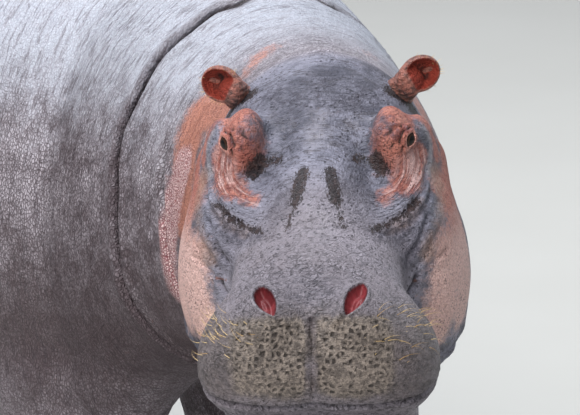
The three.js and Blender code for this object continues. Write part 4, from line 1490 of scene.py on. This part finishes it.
class Hide(Finish):
    """The hide's material, with the masks and patterns that its layers of colour share."""

    def __init__(self):
        super().__init__("hide")
        lie = self.lie = self.vectors("lie")
        self.x, self.y, self.z = (self.node("SeparateXYZ", None, {0: lie}, axis) for axis in range(3))
        self.masks = {name: self.mask(name) for name in (
            "pink", "dark", "shade", "pale", "brown", "red", "pad", "raw", "crease", "lash", "ear",
            "inner", "pleated", "waves", "cleft")}
        self.broad = self.noise(lie, 5.0, 4.0, 0.6)
        self.patchy = self.noise(lie, 22.0, 5.0, 0.62, 0.4)
        self.fine = self.noise(lie, 95.0, 4.0, 0.68)
        self.grit = self.noise(lie, 360.0, 2.0, 0.6)
        self.brush = self.noise(lie * (300.0, 100.0, 100.0), 1.0, 5.0, 0.70)
        self.head = self.step(self.y, 0.82, 0.60)
        self.body = 1.0 - self.head
        self.snout = self.step(self.y, 0.36, 0.24)
        high = self.step(self.z + self.patchy * 0.24 - self.y * 0.05, 0.98, 1.20)
        self.back = high * self.step(self.y, 0.72, 1.0)
        self.cleft = self.masks["cleft"] * CLEFT_REACH + (self.fine - 0.5) * 5.0  # in millimetres
        self.add_wrinkles()
        self.add_nets()

    def add_wrinkles(self):
        """Upright round the neck and body, across the nose, and up and down between the nostrils."""
        self.upright = self.noise(self.lie * (24.0, 170.0, 24.0), 1.0, 4.0, 0.6, 0.8)
        across = self.noise(self.lie * (26.0, 130.0, 130.0), 1.0, 4.0, 0.62, 1.0)
        front = self.noise(self.lie * (80.0, 90.0, 180.0), 1.0, 4.0, 0.62, 1.4)
        on_head = (across * (1.0 - self.snout) + front * self.snout) * self.head
        self.wrinkles = self.upright * self.body + on_head
        waves = {0: self.masks["waves"] * 0.20, 1: self.x * 22.0, 2: self.y * 22.0}
        waves = self.node("CombineXYZ", None, waves)
        self.pleats = self.step(self.noise(waves, 1.0, 3.0, 0.6), 0.40, 0.62) * self.masks["pleated"]

    def add_nets(self):
        """Cracks, scales, pores, specks, the pits of the lip and the faint creases of the muzzle."""
        net = lambda at, low, high: self.step(self.cells(at, 1.0, "DISTANCE_TO_EDGE"), low, high)
        self.cracks = 1.0 - net(self.lie * (125.0, 230.0, 125.0) + self.fine * 0.8, 0.0, 0.20)
        self.scales = 1.0 - net(self.lie * (210.0, 250.0, 190.0) + self.fine * 0.8, 0.0, 0.22)
        self.pores = (1.0 - self.step(self.cells(self.lie, 95.0, loose=0.8), 0.10, 0.30)) * self.head
        specks = 1.0 - self.step(self.cells(self.lie, 190.0), 0.18, 0.46)
        self.specks = specks * self.step(self.patchy, 0.36, 0.66)
        pits = self.cells(self.lie + self.fine * 0.002, 90.0, "DISTANCE_TO_EDGE", loose=0.7)
        self.pits = self.step(pits, 0.14, 0.40) * self.step(self.patchy, 0.25, 0.50)
        creased = 1.0 - net(self.lie * (62.0, 60.0, 105.0) + self.fine * 1.5, 0.01, 0.10)
        creased = creased * self.step(self.y, 0.22, 0.12) * self.step(self.patchy, 0.42, 0.60)
        self.creased = creased * (1.0 - self.masks["raw"]) * (1.0 - self.masks["pad"])

    def ragged(self, name, low, high, **shares):
        """A mask whose edge is broken up by patterns, each with its share."""
        edge = self.masks[name]
        for pattern, share in shares.items():
            edge = edge + (getattr(self, pattern) - 0.5) * share
        return self.step(edge, low, high)

    def flecked(self, first, second, low, high, pattern=None):
        """Two colours, mixed by a pattern: the fine noise, if no other is given."""
        return self.mix(first, second, self.step(pattern or self.fine, low, high))


def grey_skin(m):
    """The grey ground, browner low on the flank, with painted sky sheen on the back, painted shade and
    cracks.
    """
    grey = m.flecked((0.070, 0.070, 0.098), (0.27, 0.268, 0.340), 0.38, 0.62, m.broad * 0.5 + m.patchy * 0.5)
    low = m.step(m.z + m.patchy * 0.2, 1.0, 0.72) * m.body * m.step(m.z, 0.30, 0.62)
    mottle = m.broad * 0.4 + m.patchy * 0.3 + m.fine * 0.3
    flank = m.flecked((0.20, 0.165, 0.185), (0.54, 0.49, 0.545), 0.40, 0.60, mottle)
    grey = m.mix(grey, m.mix(flank, (0.110, 0.080, 0.086), low * 0.85), m.body)
    # painted highlight: the back paler and bluer, as sky sheen on wet skin
    sunlit = m.back * m.step(m.y, 2.9, 1.5) * (0.75 + 0.25 * m.step(m.upright, 0.36, 0.60))
    for colour, share in (
        ((0.40, 0.42, 0.485), sunlit),
        ((0.34, 0.292, 0.318), m.snout * 0.6),
        ((0.050, 0.042, 0.052), m.step(m.wrinkles, 0.50, 0.36) * (0.45 + 0.25 * m.head)),
        ((0.060, 0.048, 0.056), m.creased * 0.60),
        ((0.060, 0.056, 0.078), m.masks["shade"] * (0.35 + 0.65 * m.step(m.fine, 0.40, 0.60)) * 0.9),
        ((0.030, 0.028, 0.038), m.pores * 0.75 * m.step(m.patchy, 0.34, 0.54)),
        ((0.075, 0.052, 0.060), m.cracks * m.body * (0.70 - 0.45 * m.back)),
    ):
        grey = m.mix(grey, colour, share)
    return grey


def pink_skin(m):
    """The pink of cheeks, turrets and behind the ears, paler low down and redder towards the neck."""
    pink = m.flecked((0.33, 0.080, 0.050), (0.53, 0.20, 0.145), 0.38, 0.62, m.patchy * 0.5 + m.fine * 0.5)
    low, to_neck = m.step(m.z + m.patchy * 0.1, 1.04, 0.92), m.step(m.y, 0.68, 0.84)
    between_pleats = (1.0 - m.pleats) * m.masks["pleated"] * m.step(m.fine, 0.62, 0.46)
    for colour, share in (
        ((0.88, 0.595, 0.54), low),
        ((0.42, 0.19, 0.155), m.scales * low * 0.45),
        ((0.55, 0.225, 0.155), m.step(m.y + m.patchy * 0.1, 0.68, 0.84)),
        ((0.27, 0.090, 0.065), m.step(m.upright, 0.52, 0.38) * to_neck * 0.6),
        ((0.70, 0.47, 0.45), m.pleats * m.step(m.patchy, 0.26, 0.56) * 0.85),
        ((0.20, 0.060, 0.050), between_pleats * 0.85),
        ((0.085, 0.030, 0.024), m.specks * 0.85 * (1.0 - m.masks["pleated"] * 0.6)),
        # the pink darkens towards the dark marks, partly painted shade at the base of the turrets
        ((0.13, 0.036, 0.026), m.ragged("dark", 0.05, 0.60, fine=1.2) * 0.75),
    ):
        pink = m.mix(pink, colour, share)
    return pink


def hide_finish():
    m = Hide()
    masks = m.masks
    red = m.ragged("red", 0.35, 0.75, patchy=0.7)
    pale = m.ragged("pale", 0.25, 0.95, patchy=0.5, fine=0.7)
    dark = m.ragged("dark", 0.36, 0.56, brush=1.8, fine=0.9)
    scaly = m.mix((0.93, 0.67, 0.67), (0.32, 0.085, 0.095), m.scales)
    brown = m.flecked((0.40, 0.255, 0.195), (0.15, 0.095, 0.072), 0.42, 0.60)
    brown = m.mix(brown, m.flecked((0.19, 0.155, 0.150), (0.075, 0.060, 0.056), 0.42, 0.60), m.snout)
    pads = m.flecked((0.32, 0.265, 0.225), (0.14, 0.115, 0.10), 0.4, 0.6)
    raw = m.flecked((0.21, 0.032, 0.038), (0.10, 0.012, 0.015), 0.42, 0.60, m.patchy)
    outer_ear = m.flecked((0.38, 0.14, 0.10), (0.12, 0.060, 0.048), 0.42, 0.60, m.fine * 0.6 + m.patchy * 0.4)
    mottle = m.fine * 0.5 + m.patchy * 0.5
    deep_ear_and_shade = m.flecked((0.17, 0.028, 0.018), (0.022, 0.006, 0.005), 0.40, 0.56, mottle)
    colour = grey_skin(m)
    for layer, share in (
        (pink_skin(m), m.ragged("pink", 0.18, 0.82, patchy=0.9, fine=0.9) * 0.92),
        (scaly, red * 0.9),
        (brown, m.ragged("brown", 0.25, 0.95, patchy=0.8) * 0.75),
        # paler patches: painted highlights on the eye rims, forehead and nose, and the nostrils' pale rims
        ((0.36, 0.335, 0.365), pale * 0.75),
        # dark marks: the streaks down the nose, and painted shade with dark specks beside each turret
        (m.flecked((0.012, 0.006, 0.006), (0.045, 0.024, 0.022), 0.45, 0.65), dark * 0.92),
        (m.mix(pads, (0.042, 0.032, 0.026), m.pits), m.ragged("pad", 0.2, 0.8, patchy=0.8) * 0.9),
        # painted shade: the creases of the folds and of the lids' pleats darkened
        ((0.032, 0.024, 0.022), m.ragged("crease", 0.25, 0.85, fine=0.3) * 0.90),
        # painted shade along the shoulder crease: a soft darker band either side and a dark line in it
        ((0.10, 0.070, 0.082), m.step(m.cleft, 30.0, 4.0) * 0.55),
        ((0.022, 0.014, 0.016), m.step(m.cleft, 7.0, 3.0) * 0.92),
        (raw, m.step(masks["raw"], 0.3, 0.8)),
        # the lids' edge: their own pinkish-red edge, brightened as a painted wet highlight
        ((0.58, 0.30, 0.26), masks["lash"] * 0.85),
        (outer_ear, masks["ear"] * 0.9),
        ((0.27, 0.036, 0.021), m.step(masks["inner"], 0.1, 0.5)),
        # deeper in each ear's cup: the darker lining, with painted shade towards the bottom
        (deep_ear_and_shade, m.ragged("inner", 0.55, 0.95, fine=0.5)),
    ):
        colour = m.mix(colour, layer, share)

    wet = (masks["raw"] * 0.08).most(dark * 0.05).most(pale * 0.22).most(masks["lash"] * 0.3)
    roughness = 0.50 + (m.patchy - 0.5) * 0.35 - wet - m.back * 0.22 + masks["inner"] * 0.30
    height = (
        m.wrinkles * (2.6 + 1.4 * m.head)
        + m.fine * 2.4
        + m.grit * 0.5
        - m.cracks * (0.3 + 0.7 * m.body) * (1.0 - 0.6 * m.back)
        - m.scales * (0.35 + 0.6 * red)
        - m.pores * 1.0
        - m.pits * masks["pad"] * 3.4
        + m.pleats * 1.6
        - m.creased * 2.2
    ) * (1.0 - 0.95 * masks["raw"]) * (1.0 - 0.55 * m.back) - m.step(m.cleft, 10.0, 2.0) * 3.0
    relief = m.bump(height, 0.0030, 1.0)
    return m.set(Base_Color=colour, Roughness=roughness.most(0.16), Normal=relief, IOR=1.38)


def eye_finish():
    m = Finish("eye")
    gaze = m.vectors("gaze")
    across, up = m.node("SeparateXYZ", None, {0: gaze}, 0), m.node("SeparateXYZ", None, {0: gaze}, 1)
    far = (across * across + up * up) ** 0.5
    pupil = ((across * across) / 0.10 + (up * up) / 0.035) ** 0.5
    streaks = m.noise(gaze * (9.0, 9.0, 3.0), 3.0, 4.0)
    iris = m.mix((0.042, 0.018, 0.008), (0.012, 0.006, 0.004), m.step(streaks + far * 0.5, 0.45, 0.85))
    colour = m.mix(iris, (0.26, 0.15, 0.11), m.step(far, 0.80, 0.94))
    colour = m.mix(colour, (0.004, 0.003, 0.003), 1.0 - m.step(pupil, 0.85, 1.1))
    return m.set(Base_Color=colour, Roughness=0.06 + far * 0.05, IOR=1.33)


def nail_finish():
    m = Finish("nail")
    place = m.node("TexCoord", output="Object")
    grain = m.noise(place * (120.0, 120.0, 30.0), 1.0, 4.0)
    worn = m.step(m.noise(place, 60.0, 3.0), 0.4, 0.65)
    colour = m.mix((0.075, 0.058, 0.048), (0.19, 0.155, 0.125), grain * 0.6 + worn * 0.4)
    return m.set(Base_Color=colour, Roughness=0.42 + worn * 0.25, Normal=m.bump(grain, 0.0012, 0.8))


def bristle_finish():
    m = Finish("bristle")
    lie = m.vectors("lie")
    tone = m.noise(lie, 260.0, 1.0)
    pale = m.mix((0.50, 0.29, 0.08), (0.72, 0.52, 0.24), m.step(tone, 0.35, 0.65))
    tail = m.step(m.node("SeparateXYZ", None, {0: lie}, 1), 2.0, 2.2)
    colour = m.mix(pale, (0.03, 0.024, 0.02), tail)
    return m.set(Base_Color=colour, Roughness=0.45)


# ---- Studio ----
VIEW = {  # distances in metres, lens and sensor in millimetres
    "azimuth": math.radians(-47.74), "rise": math.radians(12.5),
    "far": 14.4, "lens": 502.262, "sensor": 36,
}
BROW = [0, 520, 235]  # the middle between the eyes, in the head's frame
AIM = (-0.048937, -0.120119)  # metres to the right of the brow and above it, where the camera looks
LIGHTS = [  # place and aim in metres to the right of, beyond and above the brow, size, power and colour
    ("sky", (-2.0, 2.5, 7.0), (-1, 1, 0), 8.0, 900, (0.92, 0.96, 1.0)),
    ("front", (-3, -6, 3.5), (-1, 0, 0), 6.0, 820, (1.0, 0.97, 0.94)),
    ("rear", (5, 5, 3.5), (0, 0, 0), 4.0, 120, (0.92, 0.96, 1.0)),
]
SKY = (0.80, 0.86, 0.95, 1)
SKY_STRENGTH = 0.50
FLOOR = 40  # metres from its middle to each side


def make_camera():
    around, rise = VIEW["azimuth"], VIEW["rise"]
    ahead = Vector((-math.sin(around) * math.cos(rise), math.cos(around) * math.cos(rise), -math.sin(rise)))
    across = ahead.cross(Vector((0, 0, 1))).normalized()
    up = across.cross(ahead)
    brow = Vector(placed(on_animal(BROW))[0])
    target = brow + across * AIM[0] + up * AIM[1]
    data = bpy.data.cameras.new("camera")
    data.sensor_width, data.lens = VIEW["sensor"], VIEW["lens"]
    data.clip_end = 100
    camera = bpy.data.objects.new("camera", data)
    bpy.context.scene.collection.objects.link(camera)
    camera.location = target - ahead * VIEW["far"]
    camera.rotation_euler = (-ahead).to_track_quat("Z", "Y").to_euler()
    bpy.context.scene.camera = camera
    return brow, np.array([across, ahead, (0, 0, 1)])


def make_light(name, place, target, size, power, colour):
    data = bpy.data.lights.new(name, "AREA")
    data.shape, data.size, data.energy, data.color = "DISK", size, power, colour
    light = bpy.data.objects.new(name, data)
    bpy.context.scene.collection.objects.link(light)
    light.location = place
    light.rotation_euler = (place - target).to_track_quat("Z", "Y").to_euler()


def make_floor():
    corners = [[x * FLOOR, y * FLOOR, 0] for x, y in ((-1, -1), (1, -1), (1, 1), (-1, 1))]
    floor = mesh_object("floor", corners, [[0, 1, 2, 3]])
    m = Finish("floor")
    tone = m.noise(m.node("TexCoord", output="Object"), 1.5, 3.0)
    colour = m.mix((0.42, 0.41, 0.385), (0.46, 0.45, 0.425), tone)
    floor.data.materials.append(m.set(Base_Color=colour, Roughness=0.7))


def make_studio():
    brow, ways = make_camera()
    for name, place, aim, size, power, colour in LIGHTS:
        place, aim = (brow + Vector(np.array(offset) @ ways) for offset in (place, aim))
        make_light(name, place, aim, size, power, colour)
    world = bpy.data.worlds.new("studio")
    bpy.context.scene.world = world
    world.use_nodes = True
    background = world.node_tree.nodes["Background"].inputs
    background["Color"].default_value, background["Strength"].default_value = SKY, SKY_STRENGTH
    bpy.context.scene.view_settings.view_transform = "Standard"
    make_floor()


# ---- Assembly ----
make_studio()
skin = make_skin()
skin.data.materials.clear()
skin.data.materials.append(hide_finish())
FLESH = ["head", "lower_jaw", "neck", "trunk", "tail", "leg_front_left", "leg_front_right",
         "leg_hind_left", "leg_hind_right", "ear_left", "ear_right"]
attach(skin, "root")
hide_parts(*FLESH)

eye_look = eye_finish()
for side, name in ((1, "left"), (-1, "right")):
    eye = make_eye(side)
    eye.data.materials.append(eye_look)
    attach(eye, "root")
    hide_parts(f"eye_{name}")

nails, nail_names = make_nails()
nails.data.materials.append(nail_finish())
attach(nails, "root")
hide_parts(*nail_names)

tree, ids = bristle_tree(bristle_finish())
for name, (mask, flow, values) in bristle_sets(skin.data).items():
    bristles = make_bristles(skin, name, mask, flow, tree, ids, **values)
    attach(bristles, "root")
